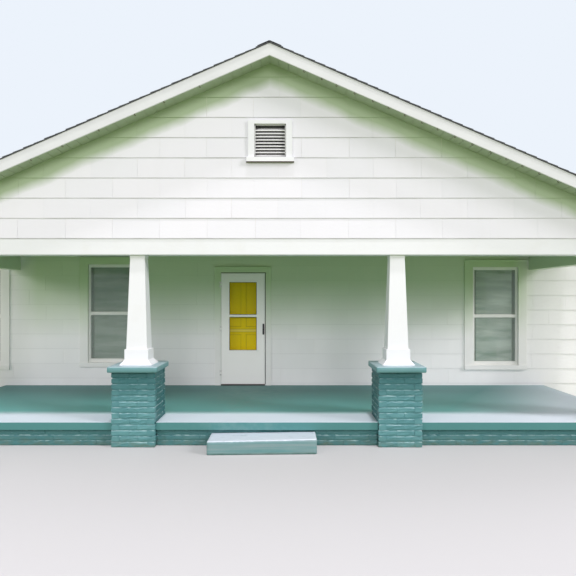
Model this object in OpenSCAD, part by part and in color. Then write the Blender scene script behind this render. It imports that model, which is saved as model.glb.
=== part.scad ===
// Front-gabled bungalow with a wide porch on tapered box columns and brick piers.
// Millimetres. X runs along the front, Y runs back into the house, Z is up.
// The origin is on the ground, on the ridge's centreline, in the middle of the
// foundation wall that carries the front wall.

/* [House] */
// Width over the outer faces of the side walls
house_w = 12000; // [11900:50:13200]
// Depth from the front wall's outer face to the rear wall's outer face
body_d = 10000; // [8800:50:12000]
// Thickness of the outer walls
wall_t = 150; // [140:5:200]
// Clear height from the room floor to the ceiling
room_h = 2600; // [2450:10:3000]
// Thickness of the room floor with its joists
floor_t = 240; // [100:5:260]
// Thickness of the room's ceiling
ceiling_t = 20; // [12:1:40]

/* [Foundation] */
// Height of the porch floor above the lowest ground
porch_z = 310; // [300:10:800]
// Thickness of the house's foundation walls
foundation_t = 250; // [220:10:350]
// Set-back of the foundation behind the walls' outer faces
foundation_recess = 20; // [5:5:60]

/* [Porch floor] */
// Depth of the porch from the front wall's outer face to the beam's front face
porch_d = 3040; // [2400:10:3800]
// Width of the porch floor
porch_floor_w = 9800; // [9700:10:9960]
// Thickness of the porch floor
slab_t = 100; // [60:5:140]
// Reach of the porch floor in front of the beam's front face
slab_nosing = 100; // [60:5:160]
// Thickness of the brick walls under the porch floor
porch_wall_t = 200; // [100:10:300]
// Set-back of those walls behind the edge of the porch floor
porch_wall_recess = 50; // [20:5:80]

/* [Entry step] */
// Centre of the entry step, right of the centreline
step_x = -86; // [-600:2:600]
// Width of the entry step
step_w = 1334; // [900:2:2000]
// Reach of the entry step in front of the porch floor
step_run = 420; // [280:5:500]
// Drop from the porch floor to the top of the step
step_drop = 136; // [120:2:200]
// Set-back of the step's right front corner behind its left one
step_skew = 50; // [5:5:90]
// Rise of the step's top from its left end to its right end
step_tilt = 18; // [2:1:30]

/* [Piers and columns] */
// Distance of the left middle column from the centreline
left_column_x = 1735; // [1300:5:2100]
// Distance of the right middle column from the centreline
right_column_x = 1660; // [1300:5:2100]
// Distance of the corner columns from the centreline
corner_x = 4720; // [4640:5:4780]
// Set-back of the columns' middles behind the beam's front face
column_set = 157; // [145:1:200]
// Width of the brick piers
pier_w = 557; // [480:1:620]
// Depth of the brick piers, from front to back
pier_d = 620; // [540:5:720]
// Height of the brick piers above the porch floor
pier_h = 645; // [450:5:900]
// Width of the pier caps
cap_w = 630; // [600:2:720]
// Depth of the pier caps, from front to back
cap_d = 750; // [700:5:860]
// Thickness of the pier caps
cap_t = 75; // [50:1:100]
// Width of a column's splayed skirt at the pier cap
skirt_w = 420; // [340:2:460]
// Height of the splayed skirt
skirt_h = 65; // [30:1:100]
// Width of the square block above the skirt
block_w = 310; // [290:2:336]
// Height of that block
block_h = 136; // [80:2:200]
// Width of the tapered shaft at its foot
shaft_w = 270; // [240:2:286]
// Width of the tapered shaft at its head
shaft_top_w = 190; // [160:2:230]
// Height of the cap board between shaft and beam
neck_h = 34; // [15:1:60]
// Reach of the cap board beyond the shaft's head
neck_out = 5; // [2:1:20]

/* [Beams] */
// Height of the beams' underside above the porch floor
beam_z = 2148; // [2000:2:2400]
// Depth of the front beam
beam_h = 209; // [150:1:235]
// Thickness of the boxed front beam
front_beam_t = 260; // [240:2:300]
// Thickness of the boxed side beams
beam_t = 190; // [160:2:220]
// Depth of the side beams at their outer face
side_beam_h = 392; // [360:2:450]
// Drop of the side beams' underside below the front beam's
side_beam_drop = 50; // [20:5:100]
// Height of the porch ceiling above the porch floor
porch_ceiling_h = 2400; // [2390:2:2440]

/* [Roof] */
// Rise of the roof over roof_run
roof_rise = 434; // [400:2:480]
// Run over which the roof rises by roof_rise
roof_run = 1000; // [920:5:1080]
// Thickness of the house roof's rafters and boards
deck_t = 140; // [100:2:200]
// Thickness of the porch roof's rafters and boards
porch_deck_t = 120; // [80:2:150]
// Thickness of the shingles
shingle_t = 20; // [10:1:40]
// Reach of the eaves beyond walls and side beams
eave_out = 450; // [200:5:600]
// Reach of the roof in front of and behind the gable walls
rake_out = 300; // [150:5:500]
// Thickness of rake boards and fascias
trim_t = 25; // [18:1:40]
// Width of the rake boards
rake_board_w = 140; // [125:1:220]
// Drop of the fascias below the rafters
fascia_drop = 20; // [5:1:60]
// Reach of the shingles beyond the boards
drip = 15; // [5:1:30]
// Width of each wing of the ridge cap
ridge_cap_w = 150; // [100:5:200]
// Thickness of the ridge cap
ridge_cap_t = 6; // [4:1:20]

/* [Gable vents] */
// Width of the vent's opening
vent_w = 410; // [300:2:500]
// Height of the vent's opening
vent_h = 433; // [300:1:520]
// Distance from the top of the shingles at the ridge to the top of the opening
vent_below_ridge = 945; // [880:5:1100]
// Width of the vent's side casings
vent_side = 80; // [50:1:100]
// Height of the vent's head casing
vent_head = 46; // [35:1:70]
// Height of the vent's sill
vent_sill = 59; // [40:1:80]
// Reach of the vent's sill beyond its casing
vent_sill_out = 22; // [5:1:40]
// Thickness of the frame that holds the louvres
vent_frame_t = 14; // [10:1:20]
// Distance between two louvres
louvre_pitch = 41; // [32:1:60]
// Thickness of a louvre
louvre_t = 7; // [5:1:10]
// Depth of the vent's frame
vent_depth = 70; // [50:2:100]
// Slope of the louvres, in degrees
louvre_angle = 42; // [30:1:50]

/* [Windows] */
// Width of a window's opening
window_w = 830; // [700:5:900]
// Height of a window's opening
window_h = 1785; // [1500:5:1820]
// Height of the right front window's opening above the porch floor
window_sill = 366; // [340:2:420]
// Height of the left front, side and rear windows' openings above the porch floor
left_window_sill = 415; // [380:2:440]
// Gap between the right front window's casing and the side beam
right_window_gap = 45; // [10:5:400]
// Centre of the left front window, left of the centreline
left_window_x = 2980; // [2600:5:3300]
// Gap between the side beam and the casing of the narrow window beyond the porch
end_window_gap = 5; // [5:5:40]
// Width of the narrow front window's opening
end_window_w = 620; // [560:5:660]
// Number of windows in each side wall
side_windows = 3; // [1:1:4]
// Number of windows in the rear wall
rear_windows = 3; // [1:1:4]
// Thickness of the lining in a window's opening
lining_t = 20; // [12:1:30]
// Width of a window's side casings
casing_w = 150; // [100:2:160]
// Height of a window's head casing
head_casing_h = 130; // [90:2:160]
// Height of a window's sill board
sill_casing_h = 80; // [50:2:110]
// Thickness of all casings
casing_t = 30; // [20:1:36]
// Reach of sills and drip caps beyond the casings
sill_out = 18; // [8:1:40]
// Height of the drip caps over windows and door
drip_cap_h = 14; // [8:1:24]
// Thickness of a window's sash
sash_t = 32; // [24:1:40]
// Set-back of the sash behind the wall's face
sash_set = 12; // [0:1:30]
// Width of a sash's stiles
stile_w = 36; // [28:1:50]
// Height of the sash's top rail
top_rail_h = 45; // [35:1:60]
// Height of the sash's bottom rail
bottom_rail_h = 60; // [45:1:90]
// Height of the meeting rail
meeting_rail_h = 45; // [30:1:60]
// Thickness of window and door panes
glass_t = 5; // [3:1:8]
// Radius of a window shade's roller
roller_r = 20; // [12:1:26]
// Distance of the roller behind the wall's face
roller_set = 95; // [84:1:105]
// Gap between the roller and the lining over it
roller_gap = 5; // [3:1:15]
// Height of the shade's lower end above the foot of the opening
shade_foot = 66; // [62:2:1000]
// Distance of the shade from the lining on each side
shade_gap = 86; // [40:2:120]
// Thickness of the shade's cloth
shade_t = 3; // [2:1:5]
// Height of the bar in the shade's hem
hem_h = 30; // [15:1:50]

/* [Door] */
// Centre of the doorway, left of the centreline
door_x = 576; // [300:2:900]
// Width of both door leaves
leaf_w = 790; // [720:2:860]
// Height of the leaves' top edge above the porch floor
leaf_top = 2035; // [1950:5:2120]
// Gap round a door leaf
leaf_gap = 5; // [5:1:6]
// Thickness of the door sill
door_sill_t = 20; // [12:1:40]
// Reach of the door sill beyond the casing
door_sill_out = 20; // [5:1:40]
// Thickness of the door's jambs
jamb_t = 25; // [25:1:36]
// Reach of the door stops beyond the jambs
stop_t = 12; // [9:1:16]
// Width of the door's side casings
door_casing_w = 110; // [70:2:130]
// Height of the door's head casing
door_head_h = 117; // [80:1:140]
// Thickness of the storm door
storm_t = 35; // [28:1:45]
// Width of the storm door's stiles
storm_stile_w = 143; // [100:1:180]
// Height of the storm door's top rail
storm_top_rail_h = 154; // [100:1:200]
// Height of the storm door's glass above the porch floor
storm_glass_z = 634; // [500:2:800]
// Height of the bar that parts the storm door's panes
storm_bar_h = 34; // [30:1:60]
// Height of the middle of that bar above the porch floor
storm_bar_z = 1264; // [1150:2:1350]
// Thickness of the front door
front_leaf_t = 45; // [35:1:50]
// Depth of the front door's sunk panels
panel_depth = 7; // [3:1:12]
// Width of the front door's stiles
front_stile_w = 127; // [90:1:160]
// Width of the front door's middle stile
front_mullion_w = 92; // [60:2:140]
// Height of the front door's bottom rail
front_bottom_rail_h = 220; // [150:5:300]
// Height of the front door's top rail
front_top_rail_h = 150; // [100:5:200]
// Height of the front door's lock rail
lock_rail_h = 140; // [100:5:200]
// Height of the front door's belt moulding above the porch floor
belt_z = 990; // [920:2:1060]
// Height of the belt moulding
belt_h = 46; // [30:1:70]
// Reach of the belt moulding beyond the door
belt_out = 8; // [4:1:14]
// Length of a hinge
hinge_h = 96; // [84:3:120]
// Radius of a hinge's knuckles
knuckle_r = 7; // [6:0.5:8]
// Radius of a hinge's pin
hinge_pin_r = 4; // [3:0.5:4.5]
// Clearance between a hinge's pin and the knuckle that turns on it
pin_clearance = 0.3; // [0.1:0.05:0.5]
// Gap between two knuckles of a hinge
knuckle_gap = 0.5; // [0.3:0.1:1]
// Distance of a hinge's knuckles from the face that its leaves lie on
knuckle_set = 3; // [2:0.5:4]
// Width of a hinge's leaves
hinge_leaf_w = 25; // [20:1:32]
// Thickness of a hinge's leaves
hinge_leaf_t = 6; // [5:0.5:7]
// Radius of the front door's knobs
knob_r = 26; // [20:1:30]
// Reach of the knobs from the door
knob_out = 58; // [45:1:62]
// Radius of the knobs' necks
knob_neck_r = 9; // [7:1:12]
// Thickness of the roses behind the knobs
rose_t = 8; // [6:1:10]
// Distance of the knobs from the leaf's free edge
knob_in = 60; // [50:1:75]
// Drop of the knobs below the belt moulding's middle
knob_drop = 90; // [75:1:120]
// Height of the storm door's pull above the porch floor, at its middle
pull_z = 1022; // [950:2:1100]
// Length of the storm door's pull
pull_h = 188; // [140:2:240]
// Reach of the pull from the storm door
pull_out = 46; // [36:1:60]
// Distance of the pull's middle from the leaf's free edge
pull_in = 24; // [18:1:60]
// Radius of the pull's grip and posts
pull_r = 8; // [6:0.5:9]

/* [Hidden] */
$fn = 48;

// Colours of the painted and roofed surfaces
white = [0.93, 0.93, 0.92];
teal = [0.43, 0.61, 0.61];
floor_teal = [0.50, 0.62, 0.63];
charcoal = [0.16, 0.17, 0.18];
dark = [0.05, 0.05, 0.05];
wood = [0.62, 0.52, 0.40];
yellow = [0.80, 0.66, 0.08];
pane = [0.55, 0.62, 0.58, 0.5];
cloth = [0.72, 0.74, 0.70];
steel = [0.60, 0.60, 0.58];

// Planes of the walls, from front to back
wall_y = -foundation_t / 2 - foundation_recess;
room_y = wall_y + wall_t;
rear_y = wall_y + body_d;
beam_y = wall_y - porch_d;
slab_y = beam_y - slab_nosing;
porch_wall_y = slab_y + porch_wall_recess;
column_y = beam_y + column_set;
house_half = house_w / 2;
porch_half = corner_x + beam_t / 2;

// Heights above the ground
room_z = porch_z + door_sill_t;
foundation_z = room_z - floor_t;
plate_z = room_z + room_h + ceiling_t;
cap_z = porch_z + pier_h;
skirt_z = cap_z + cap_t;
block_z = skirt_z + skirt_h;
shaft_z = block_z + block_h;
beam_bottom = porch_z + beam_z;
beam_top = beam_bottom + beam_h;
porch_seat_z = beam_bottom + side_beam_h;

// The roof's slope, and its layers measured upright
slope = roof_rise / roof_run;
upright = sqrt(1 + slope * slope);
deck_v = deck_t * upright;
porch_deck_v = porch_deck_t * upright;
shingle_v = shingle_t * upright;
rake_v = rake_board_w * upright;
main_under = plate_z + house_half * slope;
porch_under = porch_seat_z + porch_half * slope;
main_eave = house_half + eave_out;
porch_eave = porch_half + eave_out;
main_rake_y = wall_y - rake_out;
rear_rake_y = rear_y + rake_out;
porch_rake_y = beam_y - rake_out;

// The gable vents' openings, by height
porch_vent_z = porch_under + porch_deck_v + shingle_v - vent_below_ridge - vent_h;
rear_vent_z = main_under + deck_v + shingle_v - vent_below_ridge - vent_h;

// The doorway: half widths of the clear opening and of the hole in the wall
clear_half = leaf_w / 2 + leaf_gap;
hole_half = clear_half + jamb_t;
clear_top = porch_z + leaf_top + leaf_gap;
leaf_z = room_z + leaf_gap;
leaf_h = porch_z + leaf_top - leaf_z;
storm_y = wall_y - casing_t;
front_leaf_y = room_y - front_leaf_t;
hinge_x = -leaf_w / 2 - leaf_gap / 2;
hinge_reach = knuckle_r + knuckle_set;
hinge_heights = [0.1, 0.5, 0.9];

// Centres of the front windows that keep clear of the side beams
right_window_x = porch_half - beam_t - right_window_gap - casing_w - window_w / 2;
end_window_x = porch_half + end_window_gap + casing_w + end_window_w / 2;

// Windows as [wall, place along the wall, height of the opening, width of the opening].
// The place is counted to the right as seen from outside.
front_windows = [
  ["front", right_window_x, window_sill, window_w],
  ["front", -left_window_x, left_window_sill, window_w],
  ["front", -end_window_x, window_sill, end_window_w]
];
side_step = body_d / side_windows;
rear_step = house_w / rear_windows;
side_window_list = [
  for (wall = ["left", "right"], i = [0 : side_windows - 1])
    [wall, (i + 0.5) * side_step - body_d / 2, left_window_sill, window_w]
];
rear_window_list = [
  for (i = [0 : rear_windows - 1])
    ["rear", (i + 0.5) * rear_step - house_half, left_window_sill, window_w]
];
all_windows = concat(front_windows, side_window_list, rear_window_list);

// A box from one corner to the opposite one
module block(low, high) {
  translate(low) cube(high - low);
}

// A block round the Z axis, w wide and d deep, from z0 up
module post(w, d, z0, h) {
  translate([-w / 2, -d / 2, z0]) cube([w, d, h]);
}

// A square post that tapers evenly from w0 at its foot to w1 at its head
module tapered_post(w0, w1, h) {
  outline = [[-w0 / 2, 0], [w0 / 2, 0], [w1 / 2, h], [-w1 / 2, h]];
  reach = max(w0, w1) + 2;
  intersection() {
    translate([0, reach / 2, 0]) rotate([90, 0, 0]) linear_extrude(reach) polygon(outline);
    translate([-reach / 2, 0, 0]) rotate([90, 0, 90]) linear_extrude(reach) polygon(outline);
  }
}

// An outline in X and Z, drawn out from y0 back to y1
module drawn(y0, y1, outline) {
  translate([0, y1, 0]) rotate([90, 0, 0]) linear_extrude(y1 - y0) polygon(outline);
}

// One sloping layer of a roof: z0 is its underside on the centreline, t its upright thickness
module slope_layer(side, x1, z0, t, y0, y1) {
  drawn(y0, y1, [
    [0, z0], [side * x1, z0 - x1 * slope],
    [side * x1, z0 - x1 * slope + t], [0, z0 + t]
  ]);
}

// Puts its children at each of the four porch columns
module at_columns() {
  for (x = [-corner_x, -left_column_x, right_column_x, corner_x])
    translate([x, column_y, 0]) children();
}

// Puts its children at a window: X along the wall, Y into the room, Z from the opening's foot
module at_window(win) {
  z = porch_z + win[2];
  if (win[0] == "front") translate([win[1], wall_y, z]) children();
  if (win[0] == "rear") translate([-win[1], rear_y, z]) rotate([0, 0, 180]) children();
  if (win[0] == "left")
    translate([-house_half, wall_y + body_d / 2 - win[1], z]) rotate([0, 0, -90]) children();
  if (win[0] == "right")
    translate([house_half, wall_y + body_d / 2 + win[1], z]) rotate([0, 0, 90]) children();
}

// The hole that a window needs in its wall
module window_hole(win) {
  w = win[3] + 2 * lining_t;
  at_window(win) block([-w / 2, -1, -lining_t], [w / 2, wall_t + 1, window_h + lining_t]);
}

// Foundation

module foundation_ends() {
  x = house_half - foundation_recess;
  color(teal) for (y = [0, rear_y - foundation_recess - foundation_t / 2])
    block([-x, y - foundation_t / 2, 0], [x, y + foundation_t / 2, foundation_z]);
}

module foundation_sides() {
  x = house_half - foundation_recess;
  y1 = rear_y - foundation_recess - foundation_t;
  color(teal) for (s = [-1, 1])
    translate([s * (x - foundation_t / 2), 0, 0])
      block([-foundation_t / 2, foundation_t / 2, 0], [foundation_t / 2, y1, foundation_z]);
}

// Low brick walls between the piers, and back to the house, where they pass under its front wall
module porch_foundation() {
  top = porch_z - slab_t;
  x_edge = porch_floor_w / 2 - porch_wall_recess;
  pier_half = pier_w / 2;
  bays = [
    [-corner_x, -left_column_x], [-left_column_x, right_column_x], [right_column_x, corner_x]
  ];
  color(teal) {
    for (bay = bays)
      block([bay[0] + pier_half, porch_wall_y, 0],
            [bay[1] - pier_half, porch_wall_y + porch_wall_t, top]);
    for (s = [-1, 1])
      translate([s * (x_edge - porch_wall_t / 2), 0, 0])
        difference() {
          block([-porch_wall_t / 2, column_y + pier_d / 2, 0],
                [porch_wall_t / 2, -foundation_t / 2, top]);
          block([-porch_wall_t, wall_y, foundation_z], [porch_wall_t, room_y, plate_z]);
        }
  }
}

// The porch floor, let in round the piers
module porch_slab() {
  color(floor_teal) difference() {
    block([-porch_floor_w / 2, slab_y, porch_z - slab_t], [porch_floor_w / 2, wall_y, porch_z]);
    at_columns() post(pier_w, pier_d, porch_z - slab_t - 1, slab_t + 2);
  }
}

// The step was cast out of square: its front edge and its top both run off a little
module entry_step() {
  x = step_w / 2;
  front = slab_y - step_run;
  top = porch_z - step_drop;
  color(floor_teal) translate([step_x, 0, 0]) intersection() {
    drawn(front, porch_wall_y, [
      [-x, 0], [x, 0], [x, top + step_tilt / 2], [-x, top - step_tilt / 2]
    ]);
    linear_extrude(porch_z) polygon([
      [-x, front], [x, front + step_skew], [x, porch_wall_y], [-x, porch_wall_y]
    ]);
  }
}

// Porch piers and columns

module brick_piers() {
  color(teal) at_columns() post(pier_w, pier_d, 0, cap_z);
}

module pier_caps() {
  color(teal) at_columns() post(cap_w, cap_d, cap_z, cap_t);
}

module column_bases() {
  color(white) at_columns() {
    translate([0, 0, skirt_z]) tapered_post(skirt_w, block_w, skirt_h);
    post(block_w, block_w, block_z, block_h);
  }
}

module porch_columns() {
  shaft_h = beam_bottom - neck_h - shaft_z;
  neck_w = shaft_top_w + 2 * neck_out;
  color(white) at_columns() {
    translate([0, 0, shaft_z]) tapered_post(shaft_w, shaft_top_w, shaft_h);
    post(neck_w, neck_w, beam_bottom - neck_h, neck_h);
  }
}

// Beams, ceiling and gable of the porch

module front_beam_body() {
  block([-porch_half, beam_y, beam_bottom], [porch_half, beam_y + front_beam_t, beam_top]);
}

module porch_front_beam() {
  color(white) front_beam_body();
}

// Each side beam laps over the front beam, and its top follows the roof.
// Behind the corner column it hangs lower than the front beam.
module porch_side_beams() {
  inner = porch_half - beam_t;
  foot = beam_bottom - side_beam_drop;
  color(white) for (s = [-1, 1])
    difference() {
      union() {
        drawn(beam_y + wall_t, wall_y, [
          [s * inner, beam_bottom], [s * porch_half, beam_bottom],
          [s * porch_half, porch_seat_z], [s * inner, porch_seat_z + beam_t * slope]
        ]);
        drawn(column_y + skirt_w / 2, wall_y, [
          [s * inner, foot], [s * porch_half, foot],
          [s * porch_half, beam_top], [s * inner, beam_top]
        ]);
      }
      front_beam_body();
    }
}

module porch_ceiling() {
  x = porch_half - beam_t;
  z = porch_z + porch_ceiling_h;
  color(white) block([-x, beam_y + wall_t, z], [x, wall_y, z + ceiling_t]);
}

module vent_hole(y, z) {
  block([-vent_w / 2, y - 1, z], [vent_w / 2, y + wall_t + 1, z + vent_h]);
}

module porch_gable_wall() {
  color(white) difference() {
    drawn(beam_y, beam_y + wall_t, [
      [-porch_half, beam_top], [porch_half, beam_top], [porch_half, porch_seat_z],
      [0, porch_under], [-porch_half, porch_seat_z]
    ]);
    vent_hole(beam_y, porch_vent_z);
  }
}

// Gable vents, drawn with Y into the attic and Z from the opening's foot

module vent_casing() {
  x = vent_w / 2;
  difference() {
    union() {
      block([-x - vent_side, -casing_t, -vent_sill], [x + vent_side, 0, vent_h + vent_head]);
      block([-x - vent_side - vent_sill_out, -casing_t - vent_sill_out, -vent_sill],
            [x + vent_side + vent_sill_out, 0, 0]);
    }
    block([-x, -casing_t - 1, 0], [x, 1, vent_h]);
  }
}

// A shallow frame with slats that shed water outwards, each cut to the frame's depth
module vent_louvre() {
  x = vent_w / 2;
  count = floor((vent_h - 2 * vent_frame_t) / louvre_pitch);
  first = (vent_h - (count - 1) * louvre_pitch) / 2;
  slat = vent_depth / cos(louvre_angle) + 2 * louvre_t;
  difference() {
    block([-x, 0, 0], [x, vent_depth, vent_h]);
    block([-x + vent_frame_t, -1, vent_frame_t],
          [x - vent_frame_t, vent_depth + 1, vent_h - vent_frame_t]);
  }
  intersection() {
    block([-x, 0, 0], [x, vent_depth, vent_h]);
    for (i = [0 : count - 1])
      translate([-x, vent_depth / 2, first + i * louvre_pitch]) rotate([louvre_angle, 0, 0])
        translate([0, -slat / 2, -louvre_t / 2]) cube([vent_w, slat, louvre_t]);
  }
}

module at_vents() {
  translate([0, beam_y, porch_vent_z]) children();
  translate([0, rear_y, rear_vent_z]) rotate([0, 0, 180]) children();
}

module vent_casings() {
  color(white) at_vents() vent_casing();
}

module vent_louvres() {
  color(white) at_vents() vent_louvre();
}

// Walls

module front_wall(x0, x1, z0) {
  color(white) difference() {
    block([x0, wall_y, z0], [x1, room_y, plate_z]);
    for (win = front_windows) if (win[1] > x0 && win[1] < x1) window_hole(win);
  }
}

module front_wall_left() {
  front_wall(-house_half, -door_x - hole_half, foundation_z);
}

module front_wall_right() {
  front_wall(-door_x + hole_half, house_half, foundation_z);
}

module front_wall_head() {
  front_wall(-door_x - hole_half, -door_x + hole_half, clear_top + jamb_t);
}

// The side walls' tops are bevelled to carry the rafters
module side_walls() {
  inner = house_half - wall_t;
  color(white) difference() {
    for (s = [-1, 1])
      drawn(room_y, rear_y - wall_t, [
        [s * inner, foundation_z], [s * house_half, foundation_z],
        [s * house_half, plate_z], [s * inner, plate_z + wall_t * slope]
      ]);
    for (win = side_window_list) window_hole(win);
  }
}

module rear_wall() {
  color(white) difference() {
    block([-house_half, rear_y - wall_t, foundation_z], [house_half, rear_y, plate_z]);
    for (win = rear_window_list) window_hole(win);
  }
}

module gable_walls() {
  outline = [[-house_half, plate_z], [house_half, plate_z], [0, main_under]];
  color(white) difference() {
    union() {
      drawn(wall_y, room_y, outline);
      drawn(rear_y - wall_t, rear_y, outline);
    }
    vent_hole(rear_y - wall_t, rear_vent_z);
  }
}

// The floor spans the foundation and fills the wall under the door
module house_floor() {
  x = house_half - wall_t;
  color(wood) {
    block([-x, room_y, foundation_z], [x, rear_y - wall_t, room_z]);
    block([-door_x - hole_half, wall_y, foundation_z], [-door_x + hole_half, room_y, porch_z]);
  }
}

module house_ceiling() {
  x = house_half - wall_t;
  color(white) block([-x, room_y, plate_z - ceiling_t], [x, rear_y - wall_t, plate_z]);
}

// Roofs

module roof_decks(side) {
  color(wood) {
    slope_layer(side, main_eave - trim_t, main_under, deck_v,
                main_rake_y + trim_t, rear_rake_y - trim_t);
    slope_layer(side, porch_eave - trim_t, porch_under, porch_deck_v,
                porch_rake_y + trim_t, wall_y);
  }
}

module roof_deck_left() { roof_decks(-1); }

module roof_deck_right() { roof_decks(1); }

module shingles(side) {
  color(charcoal) {
    slope_layer(side, main_eave + drip, main_under + deck_v, shingle_v,
                main_rake_y - drip, rear_rake_y + drip);
    slope_layer(side, porch_eave + drip, porch_under + porch_deck_v, shingle_v,
                porch_rake_y - drip, wall_y);
  }
}

module shingles_left() { shingles(-1); }

module shingles_right() { shingles(1); }

// A bent strip over the top of the shingles, whose height on the centreline is z
module ridge_cap(z, y0, y1) {
  w = ridge_cap_w;
  t = ridge_cap_t * upright;
  drawn(y0, y1, [
    [0, z], [w, z - w * slope], [w, z - w * slope + t],
    [0, z + t], [-w, z - w * slope + t], [-w, z - w * slope]
  ]);
}

module ridge_caps() {
  color(charcoal) {
    ridge_cap(main_under + deck_v + shingle_v, main_rake_y - drip, rear_rake_y + drip);
    ridge_cap(porch_under + porch_deck_v + shingle_v, porch_rake_y - drip, wall_y);
  }
}

module rake_boards(side) {
  main_z = main_under + deck_v - rake_v;
  porch_z0 = porch_under + porch_deck_v - rake_v;
  color(white) {
    slope_layer(side, main_eave, main_z, rake_v, main_rake_y, main_rake_y + trim_t);
    slope_layer(side, main_eave, main_z, rake_v, rear_rake_y - trim_t, rear_rake_y);
    slope_layer(side, porch_eave, porch_z0, rake_v, porch_rake_y, porch_rake_y + trim_t);
  }
}

module rake_boards_left() { rake_boards(-1); }

module rake_boards_right() { rake_boards(1); }

// An upright board along an eave, bevelled under the shingles
module fascia(side, x1, under, deck, y0, y1) {
  x0 = x1 - trim_t;
  foot = under - x0 * slope - fascia_drop;
  drawn(y0, y1, [
    [side * x0, foot], [side * x1, foot],
    [side * x1, under + deck - x1 * slope], [side * x0, under + deck - x0 * slope]
  ]);
}

module eave_fascias() {
  color(white) for (s = [-1, 1]) {
    fascia(s, main_eave, main_under, deck_v, main_rake_y + trim_t, rear_rake_y - trim_t);
    fascia(s, porch_eave, porch_under, porch_deck_v, porch_rake_y + trim_t, wall_y);
  }
}

// Windows, drawn with Y into the room and Z from the opening's foot

module window_casing(w) {
  x = w / 2;
  side = x + casing_w;
  top = window_h + head_casing_h;
  difference() {
    union() {
      block([-side, -casing_t, -sill_casing_h], [side, 0, top]);
      block([-side, -casing_t - sill_out, -sill_casing_h], [side, 0, 0]);
      block([-side, -casing_t - sill_out, top - drip_cap_h], [side, 0, top]);
      block([-x - lining_t, -1, -lining_t], [x + lining_t, wall_t, window_h + lining_t]);
    }
    block([-x, -casing_t - sill_out - 1, 0], [x, wall_t + 1, window_h]);
  }
}

module window_casings() {
  color(white) for (win = all_windows) at_window(win) window_casing(win[3]);
}

// Heights of the two panes in a window, as [foot, top]
meeting_z = window_h / 2;
panes = [
  [bottom_rail_h, meeting_z - meeting_rail_h / 2],
  [meeting_z + meeting_rail_h / 2, window_h - top_rail_h]
];

module window_sash(w) {
  x = w / 2;
  y = sash_set + sash_t;
  difference() {
    block([-x, sash_set, 0], [x, y, window_h]);
    for (p = panes) block([-x + stile_w, sash_set - 1, p[0]], [x - stile_w, y + 1, p[1]]);
  }
}

module window_sashes() {
  color(white) for (win = all_windows) at_window(win) window_sash(win[3]);
}

module window_glass() {
  y = sash_set + sash_t / 2;
  color(pane) for (win = all_windows, p = panes)
    at_window(win)
      block([-win[3] / 2 + stile_w, y - glass_t / 2, p[0]],
            [win[3] / 2 - stile_w, y + glass_t / 2, p[1]]);
}

// A roller between the linings, its cloth and the bar in the hem
module window_shade(w) {
  z = window_h - roller_r - roller_gap;
  x = w / 2 - shade_gap;
  translate([-w / 2, roller_set, z]) rotate([0, 90, 0]) cylinder(r = roller_r, h = w);
  block([-x, roller_set - roller_r, shade_foot], [x, roller_set - roller_r + shade_t, z]);
  block([-x, roller_set - roller_r - shade_t, shade_foot],
        [x, roller_set - roller_r + 2 * shade_t, shade_foot + hem_h]);
}

module window_shades() {
  color(cloth) for (win = all_windows) at_window(win) window_shade(win[3]);
}

// The doorway, drawn from its middle with Z above the ground

module at_door() {
  translate([-door_x, 0, 0]) children();
}

// Each jamb: lining, stop and outer casing in one
module door_jamb() {
  block([clear_half, wall_y - 1, porch_z], [hole_half, room_y, clear_top]);
  block([clear_half - stop_t, storm_y + storm_t + leaf_gap, room_z],
        [clear_half + 1, front_leaf_y - leaf_gap, clear_top]);
  block([clear_half, storm_y, porch_z], [clear_half + door_casing_w, wall_y, clear_top]);
}

module door_jambs() {
  color(white) at_door() {
    door_jamb();
    mirror([1, 0, 0]) door_jamb();
  }
}

module door_head() {
  x = clear_half + door_casing_w;
  top = clear_top + door_head_h;
  color(white) at_door() {
    block([-hole_half, wall_y - 1, clear_top], [hole_half, room_y, clear_top + jamb_t]);
    block([-clear_half + stop_t, storm_y + storm_t + leaf_gap, clear_top - stop_t],
          [clear_half - stop_t, front_leaf_y - leaf_gap, clear_top + 1]);
    block([-x, storm_y, clear_top], [x, wall_y, top]);
    block([-x, storm_y - sill_out, top - drip_cap_h], [x, wall_y, top]);
  }
}

module door_sill() {
  color(steel) at_door()
    block([-clear_half, storm_y - door_sill_out, porch_z], [clear_half, room_y, room_z]);
}

// Puts its children at each hinge of a leaf, with the pin on Z and the leaf towards +X.
// The storm door's pins stand outside, the front door's inside.
module at_hinges(outside) {
  y = outside ? storm_y - hinge_reach : room_y + hinge_reach;
  for (k = hinge_heights)
    at_door() translate([hinge_x, y, leaf_z + k * leaf_h - hinge_h / 2])
      mirror([0, outside ? 0 : 1, 0]) children();
}

// The half of a hinge that stays on the jamb: pin, two knuckles and leaf
module fixed_hinge() {
  cylinder(r = hinge_pin_r, h = hinge_h);
  cylinder(r = knuckle_r, h = hinge_h / 3);
  translate([0, 0, hinge_h * 2 / 3]) cylinder(r = knuckle_r, h = hinge_h / 3);
  for (z = [0, hinge_h * 2 / 3])
    block([-leaf_gap / 2 - hinge_leaf_w, hinge_reach - hinge_leaf_t, z],
          [-leaf_gap / 2, hinge_reach, z + hinge_h / 3]);
}

// The half that turns with the leaf: one bored knuckle and its leaf
module turning_hinge() {
  h = hinge_h / 3 - 2 * knuckle_gap;
  translate([0, 0, hinge_h / 3 + knuckle_gap]) difference() {
    union() {
      cylinder(r = knuckle_r, h = h);
      block([leaf_gap / 2, hinge_reach - hinge_leaf_t, 0],
            [leaf_gap / 2 + hinge_leaf_w, hinge_reach + 1, h]);
    }
    translate([0, 0, -1]) cylinder(r = hinge_pin_r + pin_clearance, h = h + 2);
  }
}

module door_hinges() {
  color(steel) {
    at_hinges(true) fixed_hinge();
    at_hinges(false) fixed_hinge();
  }
}

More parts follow.
